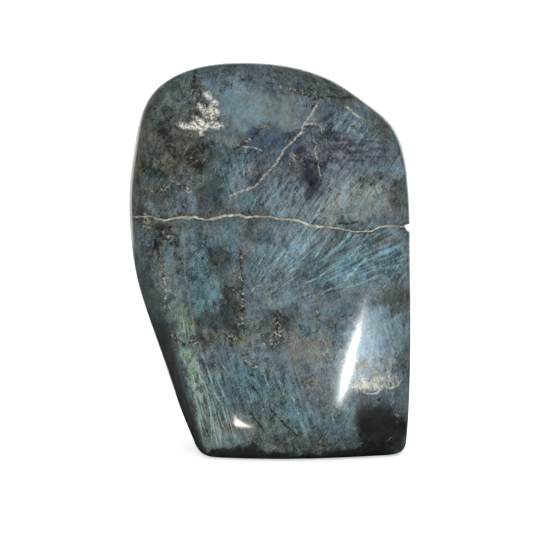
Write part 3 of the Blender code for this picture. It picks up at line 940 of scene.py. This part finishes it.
# One stroke: a straight mark between two places, pointed at its ends by the taper, laid
# over the strokes so far. The strokes before it shift its place by next to nothing, so that
# Blender works them out one after another: it can't hold all of them at once.
NUDGE = 1e-5
stroke = new_group(
    "Stroke",
    (
        ("Place", "Vector"),
        ("Start", "Vector"),
        ("End", "Vector"),
        ("Half width", "Float"),
        ("Sharpness", "Float"),
        ("Taper", "Float"),
        ("So far", "Float"),
    ),
    ("Mask", "Float"),
)
taken = stroke.nodes.new("NodeGroupInput")
given = stroke.nodes.new("NodeGroupOutput")
run = arrows(stroke, "SUBTRACT", taken.outputs["End"], taken.outputs["Start"])
nudge = arrows(stroke, "SCALE", (NUDGE, NUDGE, NUDGE), scale=taken.outputs["So far"])
held = arrows(stroke, "ADD", taken.outputs["Place"], nudge)
arm = arrows(stroke, "SUBTRACT", held, taken.outputs["Start"])
share = sums(
    stroke,
    "DIVIDE",
    arrows(stroke, "DOT_PRODUCT", arm, run),
    arrows(stroke, "DOT_PRODUCT", run, run),
    clamp=True,
)
nearest = arrows(stroke, "SCALE", run, scale=share)
away = arrows(stroke, "DISTANCE", arm, nearest)
centred = sums(stroke, "MULTIPLY_ADD", share, 2.0, -1.0)
squared = sums(stroke, "MULTIPLY", centred, centred)
thinned = sums(stroke, "MULTIPLY", squared, taken.outputs["Taper"])
half = sums(
    stroke,
    "MULTIPLY",
    sums(stroke, "SUBTRACT", 1.0, thinned),
    taken.outputs["Half width"],
)
inside = sums(stroke, "SUBTRACT", half, away)
mask = sums(stroke, "MULTIPLY_ADD", inside, taken.outputs["Sharpness"], 0.5, clamp=True)
mask = sums(stroke, "MAXIMUM", mask, taken.outputs["So far"])
stroke.links.new(mask, given.inputs[0])

# Thin layers seen edge on: long narrow light and dark lines along one direction.
layers = new_group(
    "Thin layers",
    (("Place", "Vector"), ("Turn", "Float"), ("Run", "Vector"), ("Least", "Float")),
    ("Lines", "Float"),
)
taken = layers.nodes.new("NodeGroupInput")
given = layers.nodes.new("NodeGroupOutput")
turned = put(
    layers,
    "ShaderNodeVectorRotate",
    {"Vector": taken.outputs["Place"], "Angle": taken.outputs["Turn"]},
    rotation_type="Z_AXIS",
).outputs[0]
drawn_out = arrows(layers, "MULTIPLY", turned, taken.outputs["Run"])
field = noise(layers, drawn_out, 1.0, 3.0, 0.6)
lines = sums(layers, "SUBTRACT", field, taken.outputs["Least"])
layers.links.new(lines, given.inputs[0])


def grouped(tree, group, feeds):
    """The one output of a node group that is fed with these values."""
    return put(tree, "ShaderNodeGroup", feeds, node_tree=group).outputs[0]


# A mark's sharp half, a little under half its width, because its edge is soft.
SHARP_HALF = 0.42


def strokes(tree, place, lines, sharpness, taper, swell=1.0):
    """The largest of the masks of all these lines, whose widths swell and thin out."""
    total = 0.0
    for points, width in lines:
        for start, end in zip(points, points[1:] or points):
            feeds = {
                "Place": place,
                "Start": (*start, 0.0),
                "End": (*end, 0.0),
                "Half width": sums(tree, "MULTIPLY", swell, SHARP_HALF * width),
                "Sharpness": sharpness,
                "Taper": taper,
                "So far": total,
            }
            total = grouped(tree, stroke, feeds)
    return total


# The place on the drawing, in mm, with the depth as its third part.
EDGE_STRAY = 1.5
own_place = put(tree, "ShaderNodeTexCoord").outputs["Object"]
place = arrows(tree, "MULTIPLY", own_place, (1.0 / MM, 1.0 / MM, DRAWING_STRETCH / MM))
parts = put(tree, "ShaderNodeSeparateXYZ", {0: place}).outputs
up_drawing = sums(tree, "ADD", parts["Z"], DRAWING_RISE)
drawing = put(tree, "ShaderNodeCombineXYZ", {0: parts["X"], 1: up_drawing, 2: parts["Y"]})
drawing = drawing.outputs[0]
flat = put(tree, "ShaderNodeCombineXYZ", {0: parts["X"], 1: up_drawing, 2: 0.0}).outputs[0]
rough_edge = put(
    tree,
    "ShaderNodeTexNoise",
    {"Vector": drawing, "Scale": 0.9, "Detail": 3.0, "Roughness": 0.65},
).outputs["Color"]
strayed = arrows(tree, "SUBTRACT", rough_edge, (0.5, 0.5, 0.5))
strayed = arrows(tree, "MULTIPLY", strayed, (EDGE_STRAY, EDGE_STRAY, 0.0))
wandering = arrows(tree, "ADD", flat, strayed)
straying = arrows(tree, "ADD", drawing, strayed)


def moved(offset, at=drawing):
    """The same place moved far off, so that two noises don't match."""
    return arrows(tree, "ADD", at, offset)


def steep(value, gain, lift):
    """A mask from 0 to 1: the value times the gain, plus the lift."""
    return sums(tree, "MULTIPLY_ADD", value, gain, lift, clamp=True)


def times(*values):
    """All these masks and shares multiplied together."""
    total = values[0]
    for value in values[1:]:
        total = sums(tree, "MULTIPLY", total, value)
    return total


def painted_over(under, paint, *masks):
    """The colour so far, covered by a paint where all its masks say."""
    return mixed(tree, times(*masks), under, (*paint, 1.0))


def about_nought(value, contrast):
    """A value around a half, turned into one around nought."""
    return sums(tree, "MULTIPLY_ADD", value, contrast, -contrast / 2)


def cells(at, scale):
    """Angular cleavage pieces, each with its own value around nought."""
    feeds = {"Vector": at, "Scale": scale, "Randomness": 1.0}
    pieces = put(tree, "ShaderNodeTexVoronoi", feeds).outputs["Color"]
    piece = put(tree, "ShaderNodeSeparateXYZ", {0: pieces}).outputs["X"]
    return sums(tree, "SUBTRACT", piece, 0.5)


front_only = kept_value(tree, "front")
mottle = kept_value(tree, "mottle")
blotches = noise(tree, straying, 0.22, 6.0, 0.66)
grain = noise(tree, drawing, 1.5, 3.0, 0.7)
fine_grain = noise(tree, moved((5.0, 71.0, 13.0)), 2.6, 2.0, 0.7)
hue = noise(tree, moved((40.0, 9.0, 3.0)), 0.20, 4.0, 0.65)
leaning = arrows(tree, "MULTIPLY", straying, (1.0, 0.6, 1.0))
broad_cells = cells(leaning, 0.16)
small_cells = times(cells(leaning, 0.75), sums(tree, "MULTIPLY_ADD", mottle, 0.8, 0.2))

# The layers' lines: a fan that opens from one place, lines that slant up to the right, lines
# that fall steeply, and two finer sets everywhere.
FAN_FROM = (-12.0, 52.0, 0.0)
FAN_LINES = 46.0
FAN_DRAWN_OUT = 0.10
outward = arrows(tree, "SUBTRACT", flat, FAN_FROM)
outward_parts = put(tree, "ShaderNodeSeparateXYZ", {0: outward}).outputs
bearing = sums(tree, "ARCTAN2", outward_parts["Y"], outward_parts["X"])
spread = times(bearing, FAN_LINES)
reach_out = times(arrows(tree, "LENGTH", outward), FAN_DRAWN_OUT)
fan_place = put(tree, "ShaderNodeCombineXYZ", {0: reach_out, 1: spread, 2: 0.0}).outputs[0]
fan = sums(tree, "SUBTRACT", noise(tree, fan_place, 1.0, 3.0, 0.6), 0.5)


def layer_lines(at, turn, run):
    """Lines along this turn in degrees; the run says how closely they follow each other."""
    feeds = {"Place": at, "Turn": math.radians(turn), "Run": run, "Least": 0.5}
    return grouped(tree, layers, feeds)


slant = layer_lines(drawing, -54.0, (0.13, 1.25, 0.15))
fall = layer_lines(drawing, -107.0, (0.11, 1.15, 0.15))
fine_slant = layer_lines(straying, -58.0, (0.40, 3.0, 0.5))
fine_fall = layer_lines(straying, -104.0, (0.36, 3.0, 0.5))
lit_lines = times(fan, kept_value(tree, "fan"))
lit_lines = sums(tree, "MULTIPLY_ADD", slant, kept_value(tree, "slant"), lit_lines)
lit_lines = sums(tree, "MULTIPLY_ADD", fall, kept_value(tree, "fall"), lit_lines)

# The ground colour, its brightness broken by blotches, grain, cells and the layers' lines.
BLOTCH_CONTRAST = 1.9
GRAIN_CONTRAST = 1.9
FINE_CONTRAST = 1.6
FINE_LINE_CONTRAST = 3.0
FINE_LINE_MEAN = 0.06
LAYER_CONTRAST = 3.8
BROAD_CELL_CONTRAST = 0.40
SMALL_CELL_CONTRAST = 0.95
HUE_CONTRAST = 0.75
DARKEST = 0.25
TINT_GAIN = 1.02
tint_colour = kept_value(tree, "tint", "Color")
tint_green = put(tree, "ShaderNodeSeparateXYZ", {0: tint_colour}).outputs["Y"]
lively = steep(tint_green, 16.0, -0.2)
graining = about_nought(fine_grain, FINE_CONTRAST)
graining = sums(tree, "ADD", about_nought(grain, GRAIN_CONTRAST), graining)
graining = times(graining, sums(tree, "MULTIPLY_ADD", mottle, 0.6, 0.65))
fine_lines = sums(tree, "MAXIMUM", fine_slant, fine_fall)
fine_lines = sums(tree, "SUBTRACT", fine_lines, FINE_LINE_MEAN)
unevenness = sums(tree, "ADD", about_nought(blotches, BLOTCH_CONTRAST), graining)
for part, contrast in (
    (broad_cells, BROAD_CELL_CONTRAST),
    (small_cells, SMALL_CELL_CONTRAST),
    (fine_lines, FINE_LINE_CONTRAST),
):
    unevenness = sums(tree, "MULTIPLY_ADD", part, contrast, unevenness)
unevenness = times(unevenness, sums(tree, "SUBTRACT", 1.0, kept_value(tree, "calm")))
brightness = sums(tree, "ADD", unevenness, 1.0)
brightness = sums(tree, "MULTIPLY_ADD", lit_lines, LAYER_CONTRAST, brightness)
brightness = sums(tree, "MAXIMUM", brightness, DARKEST)
warmth = about_nought(hue, HUE_CONTRAST)
red_share = sums(tree, "ADD", 1.0, warmth)
blue_share = sums(tree, "SUBTRACT", 1.0, warmth)
shift = put(tree, "ShaderNodeCombineXYZ", {0: red_share, 1: 1.0, 2: blue_share}).outputs[0]
colour = arrows(tree, "MULTIPLY", tint_colour, shift)
colour = arrows(tree, "SCALE", colour, scale=times(brightness, TINT_GAIN))

# Bright flashes where the layers' lines are strongest, and short filaments, pale ones
# slanting up and dark ones falling.
FLASH_BLUE = (0.20, 0.38, 0.44)
FILAMENT_BLUE = (0.27, 0.36, 0.37)
THREAD_BLACK = (0.018, 0.022, 0.020)
colour = painted_over(colour, FLASH_BLUE, steep(lit_lines, 9.0, -1.1), 0.50)
colour = painted_over(colour, FILAMENT_BLUE, steep(fine_slant, 16.0, -2.0), lively, 0.45)
colour = painted_over(colour, THREAD_BLACK, steep(fine_fall, -16.0, -2.0), 0.55)

# Healed hair cracks and flecks of mica, everywhere in the stone.
HEALED_WHITE = (0.27, 0.31, 0.28)
FLECK_WHITE = (0.33, 0.36, 0.31)
MICA_BLACK = (0.012, 0.014, 0.010)


def hair_lines(field, sharpness, breadth):
    """Thin crooked lines along the middle value of a noise."""
    gap = sums(tree, "ABSOLUTE", sums(tree, "SUBTRACT", field, 0.5))
    return steep(gap, -sharpness, breadth)


hair = hair_lines(noise(tree, drawing, 0.16, 4.0, 0.6), 120.0, 1.0)
broken = steep(noise(tree, drawing, 0.35, 2.0), 8.0, -4.0)
colour = painted_over(colour, HEALED_WHITE, hair, broken, lively, 0.50)
dark_hair = hair_lines(noise(tree, moved((3.0, 55.0, 20.0)), 0.20, 5.0, 0.65), 90.0, 0.9)
dark_break = steep(noise(tree, moved((31.0, 5.0, 2.0)), 0.6, 3.0, 0.6), 9.0, -4.6)
colour = painted_over(colour, MICA_BLACK, dark_hair, dark_break, mottle, 0.8)
flecks_at = moved((11.0, 7.0, 3.0), straying)
dark_flecks = steep(noise(tree, flecks_at, 1.25, 2.0, 0.6), 12.0, -7.3)
colour = painted_over(colour, MICA_BLACK, dark_flecks, mottle, 0.7)
pale_flecks = noise(tree, moved((80.0, 7.0, 3.0), flecks_at), 1.5, 2.0, 0.6)
pale_flecks = steep(pale_flecks, 13.0, -8.3)
colour = painted_over(colour, FLECK_WHITE, pale_flecks, mottle, lively, 0.55)
specks = put(
    tree,
    "ShaderNodeTexVoronoi",
    {"Vector": straying, "Scale": 0.30, "Randomness": 1.0},
).outputs["Distance"]
gathered = steep(noise(tree, drawing, 0.07, 2.0), 9.0, -4.8)
colour = painted_over(colour, MICA_BLACK, steep(specks, -9.0, 1.3), gathered, 0.8)

# The drawn marks, each set with its place, sharpness, taper, strength and colour.
PURPLE = (0.018, 0.020, 0.034)
LILAC = (0.20, 0.22, 0.25)
MOSS_PALE = (0.33, 0.44, 0.38)
SKY_PALE = (0.27, 0.48, 0.53)
TAN = (0.24, 0.21, 0.14)
CRACK_BLACK = (0.006, 0.008, 0.006)
VEIN_AND_GLINT_CREAM = (0.46, 0.44, 0.36)
DARK_SWELL = 1.5
DOT_SWELL = 1.3
swell = noise(tree, moved((60.0, 3.0, 9.0)), 0.9, 3.0, 0.65)
swell = sums(tree, "MULTIPLY_ADD", swell, 4.0, -1.15)
for lines, at, sharpness, taper, strength, paint in (
    (PURPLE_BANDS, wandering, 1.1, 0.8, 0.75, PURPLE),
    (LILAC_BANDS, wandering, 1.3, 0.8, 0.50, LILAC),
    (MOSS_STREAKS, flat, 3.2, 0.9, 0.65, MOSS_PALE),
    (SKY_STREAKS, wandering, 2.4, 0.9, 0.60, SKY_PALE),
    (TAN_LINES_AND_GLINT, wandering, 3.0, 0.5, 0.75, TAN),
):
    marks = strokes(tree, at, lines, sharpness, taper, swell)
    colour = painted_over(colour, paint, marks, strength, front_only)
dark = strokes(tree, wandering, DARK_LINES, 3.6, 0.6, times(swell, DARK_SWELL))
dots = [(((dot_x, dot_up),), DOT_SWELL * size) for dot_x, dot_up, size in DARK_DOTS]
dark = sums(tree, "MAXIMUM", dark, strokes(tree, wandering, dots, 3.0, 0.0))
colour = painted_over(colour, CRACK_BLACK, dark, 0.92, front_only)
# The cream lines, with the painted glints among them.
cream = strokes(tree, wandering, CREAM_LINES_AND_GLINTS, 3.0, 0.3, swell)
vein_break = steep(noise(tree, drawing, 1.1, 2.0), 4.0, -1.15)
colour = painted_over(colour, VEIN_AND_GLINT_CREAM, cream, vein_break, front_only, 0.85)

# Bands and clumps where black mica and cream calcite lie mixed in small grains, and clumps
# of mica alone.
CLUMP_BLACK = (0.008, 0.010, 0.008)
CHALK = (0.47, 0.45, 0.37)
clustered = steep(noise(tree, moved((9.0, 27.0, 1.0)), 0.28, 3.0, 0.6), 6.0, -2.0)
speckled = times(strokes(tree, wandering, SPECKLED_BANDS, 0.8, 0.2), front_only, clustered)
micaed = times(strokes(tree, wandering, MICA_BANDS, 0.8, 0.2), front_only)
micaed = sums(tree, "MAXIMUM", micaed, speckled)
mica = steep(noise(tree, drawing, 0.75, 4.0, 0.8), 13.0, -5.7)
colour = painted_over(colour, CLUMP_BLACK, mica, micaed, 0.9)
chalk = steep(noise(tree, moved((17.0, 5.0, 11.0)), 0.9, 4.0, 0.8), 13.0, -6.8)
colour = painted_over(colour, CHALK, chalk, speckled, 0.8)

# The cream calcite of the patch near the top left, in small crumbs.
CRUMB_WHITE = (0.62, 0.60, 0.53)
CRUMBS = (
    (((-22, 129.3), (-20.8, 128.3)), 2.6),
    (((-19.3, 127), (-18.6, 126)), 2),
    (((-22, 124.3), (-21.6, 123.4)), 1.8),
    (((-18.6, 124), (-18, 122.6)), 1.9),
    (((-31, 118.6), (-28, 118), (-25, 119.2)), 2.4),
    (((-26, 118.8), (-22.5, 118.6)), 5),
    (((-22, 119), (-17, 118.4)), 2.8),
    (((-24.2, 117), (-23.6, 115.4)), 1.5),
    (((-24.5, 126), (-22, 121.5)), 1.6),
    (((-20.5, 125.5), (-20, 121)), 1.6),
    (((-26.5, 121.6), (-25, 121)), 1),
)
crumbs = strokes(tree, wandering, CRUMBS, 0.8, 0.3)
crumb_grain = steep(noise(tree, drawing, 1.1, 3.0, 0.7), 7.0, -2.8)
colour = painted_over(colour, CRUMB_WHITE, crumbs, crumb_grain, front_only)

# The main crack, filled with cream calcite that thins and thickens along it.
FILL_BROWN = (0.25, 0.24, 0.17, 1.0)
FILL_CREAM = (0.54, 0.51, 0.42, 1.0)
CRACK_SHADOW = (0.02, 0.024, 0.02)
crack_stray = about_nought(noise(tree, drawing, 0.8, 3.0, 0.6), 0.9)
crack_gap = sums(tree, "ABSOLUTE", sums(tree, "ADD", kept_value(tree, "crack"), crack_stray))
crack_half = sums(tree, "MULTIPLY_ADD", noise(tree, drawing, 0.45, 4.0, 0.65), 1.3, -0.15)
crack_half = times(crack_half, kept_value(tree, "crack_breadth"))
filled = steep(sums(tree, "SUBTRACT", crack_half, crack_gap), 3.6, 0.5)
fill_hue = steep(noise(tree, drawing, 0.5, 3.0), 5.0, -2.3)
fill_colour = mixed(tree, fill_hue, FILL_BROWN, FILL_CREAM)
colour = painted_over(colour, CRACK_SHADOW, steep(crack_gap, -0.8, 1.1), 0.35)
colour = mixed(tree, filled, colour, fill_colour)

# Painted shade over the lower left flank, where its surface faces left.
PAINTED_FLANK_SHADE_COLOUR = (0.016, 0.018, 0.015)
FLANK_SHADE = 0.9
colour = painted_over(colour, PAINTED_FLANK_SHADE_COLOUR, kept_value(tree, "painted_flank_shade"), FLANK_SHADE)

shader = tree.nodes["Principled BSDF"]
tree.links.new(colour, shader.inputs["Base Color"])
for name, value in (
    ("IOR", STONE_INDEX),
    ("Specular IOR Level", GROUND_SPECULAR),
    ("Coat Weight", 1.0),
    ("Coat Roughness", COAT_ROUGHNESS),
    ("Coat IOR", STONE_INDEX),
):
    shader.inputs[name].default_value = value
smoothest = GROUND_ROUGHNESS - ROUGHNESS_SPREAD / 2
rough = sums(tree, "MULTIPLY_ADD", grain, ROUGHNESS_SPREAD, smoothest)
tree.links.new(rough, shader.inputs["Roughness"])
metal = times(kept_value(tree, "flash"), FLASH_METAL)
tree.links.new(metal, shader.inputs["Metallic"])
bump = put(
    tree,
    "ShaderNodeBump",
    {"Height": grain, "Distance": GRAIN_BUMP_MM * MM, "Strength": 1.0},
)
tree.links.new(bump.outputs[0], shader.inputs["Normal"])
stone_mesh.materials.append(material)

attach(stone, "root")
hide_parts("labradorite")

# The white sweep: a floor that curves up all round, well away from the stone.
SWEEP_FLOOR = 1.2
SWEEP_CURVE = 0.5
SWEEP_TOP = 2.4
SWEEP_STEPS = 12
SWEEP_SIDES = 64
HOLE = 0.001
PAPER_WHITE = (0.88, 0.88, 0.88, 1.0)
PAPER_GLOW = 0.45


def turned_shell(name, profile, first_turn, last_turn, sides):
    """A surface made by turning a (radius, height) profile about the upright axis."""
    turns = [first_turn + (last_turn - first_turn) * n / sides for n in range(sides + 1)]
    points = []
    for turn in turns:
        for radius, height in profile:
            points.append((radius * math.sin(turn), -radius * math.cos(turn), height))
    step = len(profile)
    quads = [
        (n * step + m, (n + 1) * step + m, (n + 1) * step + m + 1, n * step + m + 1)
        for n in range(sides)
        for m in range(step - 1)
    ]
    shell_mesh = bpy.data.meshes.new(name)
    shell_mesh.from_pydata(points, [], quads)
    shell_mesh.update()
    shell_mesh.shade_smooth()
    shell = bpy.data.objects.new(name, shell_mesh)
    bpy.context.scene.collection.objects.link(shell)
    return shell


sweep_profile = [(HOLE, 0.0), (0.2, 0.0), (0.6, 0.0)]
for step in range(SWEEP_STEPS + 1):
    turn = math.radians(90.0) * step / SWEEP_STEPS
    reach = SWEEP_FLOOR + SWEEP_CURVE * math.sin(turn)
    sweep_profile.append((reach, SWEEP_CURVE - SWEEP_CURVE * math.cos(turn)))
sweep_profile.append((SWEEP_FLOOR + SWEEP_CURVE, SWEEP_TOP))
sweep = turned_shell("white_sweep", sweep_profile, 0.0, math.tau, SWEEP_SIDES)
paper = bpy.data.materials.new("white_paper")
paper.use_nodes = True
paper_shader = paper.node_tree.nodes["Principled BSDF"]
paper_shader.inputs["Base Color"].default_value = PAPER_WHITE
paper_shader.inputs["Roughness"].default_value = 0.9
paper_shader.inputs["Specular IOR Level"].default_value = 0.1
paper_shader.inputs["Emission Color"].default_value = (1.0, 1.0, 1.0, 1.0)
paper_shader.inputs["Emission Strength"].default_value = PAPER_GLOW
sweep.data.materials.append(paper)

# A black tent over the front, as is used for shiny stones, open behind the stone, and a
# black cloth on the floor. Only the polish mirrors them.
TENT_RADIUS = 0.50
TENT_MOUTH = math.radians(126.0)
TENT_CROWN = math.radians(0.5)
TENT_STEPS = 32
TENT_SIDES = 48
CLOTH_LIFT = 0.0004
CLOTH_TURN = math.radians(147.0)
tent_profile = []
for step in range(TENT_STEPS + 1):
    turn = TENT_CROWN + (TENT_MOUTH - TENT_CROWN) * step / TENT_STEPS
    tent_profile.append((TENT_RADIUS * math.sin(turn), TENT_RADIUS * math.cos(turn)))
tent = turned_shell("black_tent", tent_profile, 0.0, math.tau, TENT_SIDES)
tent.rotation_euler = (math.radians(90.0), 0.0, 0.0)
floor_profile = [(HOLE, CLOTH_LIFT), (0.2, CLOTH_LIFT), (TENT_RADIUS, CLOTH_LIFT)]
floor_cloth = turned_shell(
    "black_floor_cloth", floor_profile, -CLOTH_TURN, CLOTH_TURN, TENT_SIDES
)
cloth = bpy.data.materials.new("black_cloth")
cloth.use_nodes = True
cloth_shader = cloth.node_tree.nodes["Principled BSDF"]
cloth_shader.inputs["Base Color"].default_value = (0.01, 0.01, 0.01, 1.0)
cloth_shader.inputs["Roughness"].default_value = 1.0
cloth_shader.inputs["Specular IOR Level"].default_value = 0.0
for black in (tent, floor_cloth):
    black.data.materials.append(cloth)
    black.visible_camera = False
    black.visible_diffuse = False
    black.visible_shadow = False
    black.visible_transmission = False

# Soft light from above and both sides, and a low room glow.
ROOM_GLOW = 0.3
LAMP_AIM = (0.0, 0.0, 0.07)
world = bpy.data.worlds.new("room")
world.use_nodes = True
room = world.node_tree.nodes["Background"]
room.inputs["Color"].default_value = (1.0, 1.0, 1.0, 1.0)
room.inputs["Strength"].default_value = ROOM_GLOW
bpy.context.scene.world = world


def soft_light(name, place, aim, breadth, height, radiance):
    """A lamp of even radiance, turned to face its aim."""
    lamp = bpy.data.lights.new(name, "AREA")
    lamp.shape = "RECTANGLE"
    lamp.size = breadth
    lamp.size_y = height
    lamp.energy = radiance * math.pi * breadth * height
    held = bpy.data.objects.new(name, lamp)
    held.location = place
    way = Vector(aim) - Vector(place)
    held.rotation_euler = way.to_track_quat("-Z", "Y").to_euler()
    held.visible_camera = False
    bpy.context.scene.collection.objects.link(held)
    return held


for name, place, breadth, height, radiance in (
    ("top_softbox", (0.0, -0.40, 1.3), 1.2, 0.8, 0.6),
    ("left_softbox", (-1.0, -0.75, 0.55), 0.7, 0.7, 0.6),
    ("right_softbox", (1.0, -0.75, 0.6), 0.7, 0.7, 0.6),
):
    softbox = soft_light(name, place, LAMP_AIM, breadth, height, radiance)
    softbox.visible_glossy = False

# Small bright openings in the tent's front. The polish shows their images: a white blade on
# the right fold with a blue-white haze beside it, and a warm corner low on the left.


def tent_opening(name, outline, middle, reach, colour, strength):
    """A flat glowing shape, brightest at its middle, seen only in the polish."""
    opening_mesh = bpy.data.meshes.new(name)
    opening_mesh.from_pydata(outline, [], [tuple(range(len(outline)))])
    opening = bpy.data.objects.new(name, opening_mesh)
    bpy.context.scene.collection.objects.link(opening)
    glow = bpy.data.materials.new(name + "_glow")
    glow.use_nodes = True
    glow_tree = glow.node_tree
    glow_shader = glow_tree.nodes["Principled BSDF"]
    place = put(glow_tree, "ShaderNodeTexCoord").outputs["Object"]
    away = arrows(glow_tree, "SUBTRACT", place, middle)
    away = arrows(glow_tree, "DIVIDE", away, reach)
    far = arrows(glow_tree, "LENGTH", away)
    near_middle = sums(glow_tree, "SUBTRACT", 1.0, far, clamp=True)
    near_middle = sums(glow_tree, "MULTIPLY", near_middle, near_middle)
    shown = mixed(glow_tree, near_middle, (0.0, 0.0, 0.0, 1.0), (*colour, 1.0))
    glow_tree.links.new(shown, glow_shader.inputs["Emission Color"])
    glow_shader.inputs["Base Color"].default_value = (0.0, 0.0, 0.0, 1.0)
    glow_shader.inputs["Specular IOR Level"].default_value = 0.0
    glow_shader.inputs["Emission Strength"].default_value = strength
    opening_mesh.materials.append(glow)
    opening.visible_camera = False
    opening.visible_diffuse = False
    opening.visible_shadow = False
    return opening


# The blade and the haze stand in front of the stone and to its right, on a slanting card:
# places across it and up it, in metres, from the card's foot. The haze is a little nearer
# to the camera, so that the blade covers it.
CARD_FOOT = (0.0622, -0.1451, 0.0026)
CARD_ACROSS = (0.96, 0.28)
CARD_LEAN = 0.25


def on_card(across, up_card, nearer=0.0):
    """A place on the slanting card."""
    lean = CARD_LEAN * up_card
    return (
        CARD_FOOT[0] + (across + lean) * CARD_ACROSS[0],
        CARD_FOOT[1] + (across + lean) * CARD_ACROSS[1] - nearer,
        CARD_FOOT[2] + up_card,
    )


BLADE_SHAPE = (
    (0.0000, 0.0000), (0.0018, 0.0050), (0.0030, 0.0140), (0.0028, 0.0260), (0.0017, 0.0430),
    (0.0000, 0.0680), (-0.0012, 0.0430), (-0.0024, 0.0260), (-0.0028, 0.0140), (-0.0015, 0.0050),
)
BLADE_MIDDLE = (0.0, 0.020)
BLADE_REACH = (0.070, 0.070, 0.060)
BLADE_WHITE = (1.0, 1.0, 1.0)
BLADE_GLOW = 100.0
blade_outline = [on_card(*point) for point in BLADE_SHAPE]
blade_middle = on_card(*BLADE_MIDDLE)
tent_opening(
    "blade_opening", blade_outline, blade_middle, BLADE_REACH, BLADE_WHITE, BLADE_GLOW
)
HAZE_HALF = 0.034
HAZE_SIDES = 24
HAZE_ACROSS = 0.012
HAZE_UP = 0.036
HAZE_BRIGHTEST_UP = 0.030
HAZE_NEARER = 0.004
HAZE_REACH = (0.034, 0.034, 0.028)
HAZE_BLUE = (0.80, 0.92, 1.0)
HAZE_GLOW = 5.2
haze_outline = [
    on_card(
        HAZE_ACROSS + HAZE_HALF * math.cos(turn),
        HAZE_UP + HAZE_HALF * math.sin(turn),
        HAZE_NEARER,
    )
    for turn in (math.tau * n / HAZE_SIDES for n in range(HAZE_SIDES))
]
haze_middle = on_card(HAZE_ACROSS, HAZE_BRIGHTEST_UP, HAZE_NEARER)
tent_opening("haze_opening", haze_outline, haze_middle, HAZE_REACH, HAZE_BLUE, HAZE_GLOW)
CORNER_Y = -0.051
CORNER_MIDDLE = (-0.0180, CORNER_Y, 0.0048)
CORNER_REACH = (0.018, 0.018, 0.014)
CORNER_CREAM = (1.0, 0.93, 0.78)
CORNER_GLOW = 44.0
corner_outline = [
    (-0.0203, CORNER_Y, 0.0032),
    (-0.0150, CORNER_Y, 0.0028),
    (-0.0085, CORNER_Y, 0.0025),
    (-0.0150, CORNER_Y, 0.0052),
    (-0.0188, CORNER_Y, 0.0085),
    (-0.0200, CORNER_Y, 0.0140),
]
tent_opening(
    "corner_opening", corner_outline, CORNER_MIDDLE, CORNER_REACH, CORNER_CREAM, CORNER_GLOW
)

# The camera, a little above the stone and looking slightly down at it.
CAMERA_LENS = 113.3
CAMERA_SENSOR = 36.0
CAMERA_AWAY = 0.60
CAMERA_ABOVE = math.radians(8.0)
CAMERA_TARGET = (-0.0010, 0.0, 0.0664)
camera = bpy.data.cameras.new("camera")
camera.lens = CAMERA_LENS
camera.sensor_width = CAMERA_SENSOR
camera.sensor_fit = "HORIZONTAL"
held_camera = bpy.data.objects.new("camera", camera)
held_camera.location = (
    CAMERA_TARGET[0],
    CAMERA_TARGET[1] - CAMERA_AWAY * math.cos(CAMERA_ABOVE),
    CAMERA_TARGET[2] + CAMERA_AWAY * math.sin(CAMERA_ABOVE),
)
held_camera.rotation_euler = (math.radians(90.0) - CAMERA_ABOVE, 0.0, 0.0)
bpy.context.scene.collection.objects.link(held_camera)
bpy.context.scene.camera = held_camera
bpy.context.scene.view_settings.view_transform = "Standard"
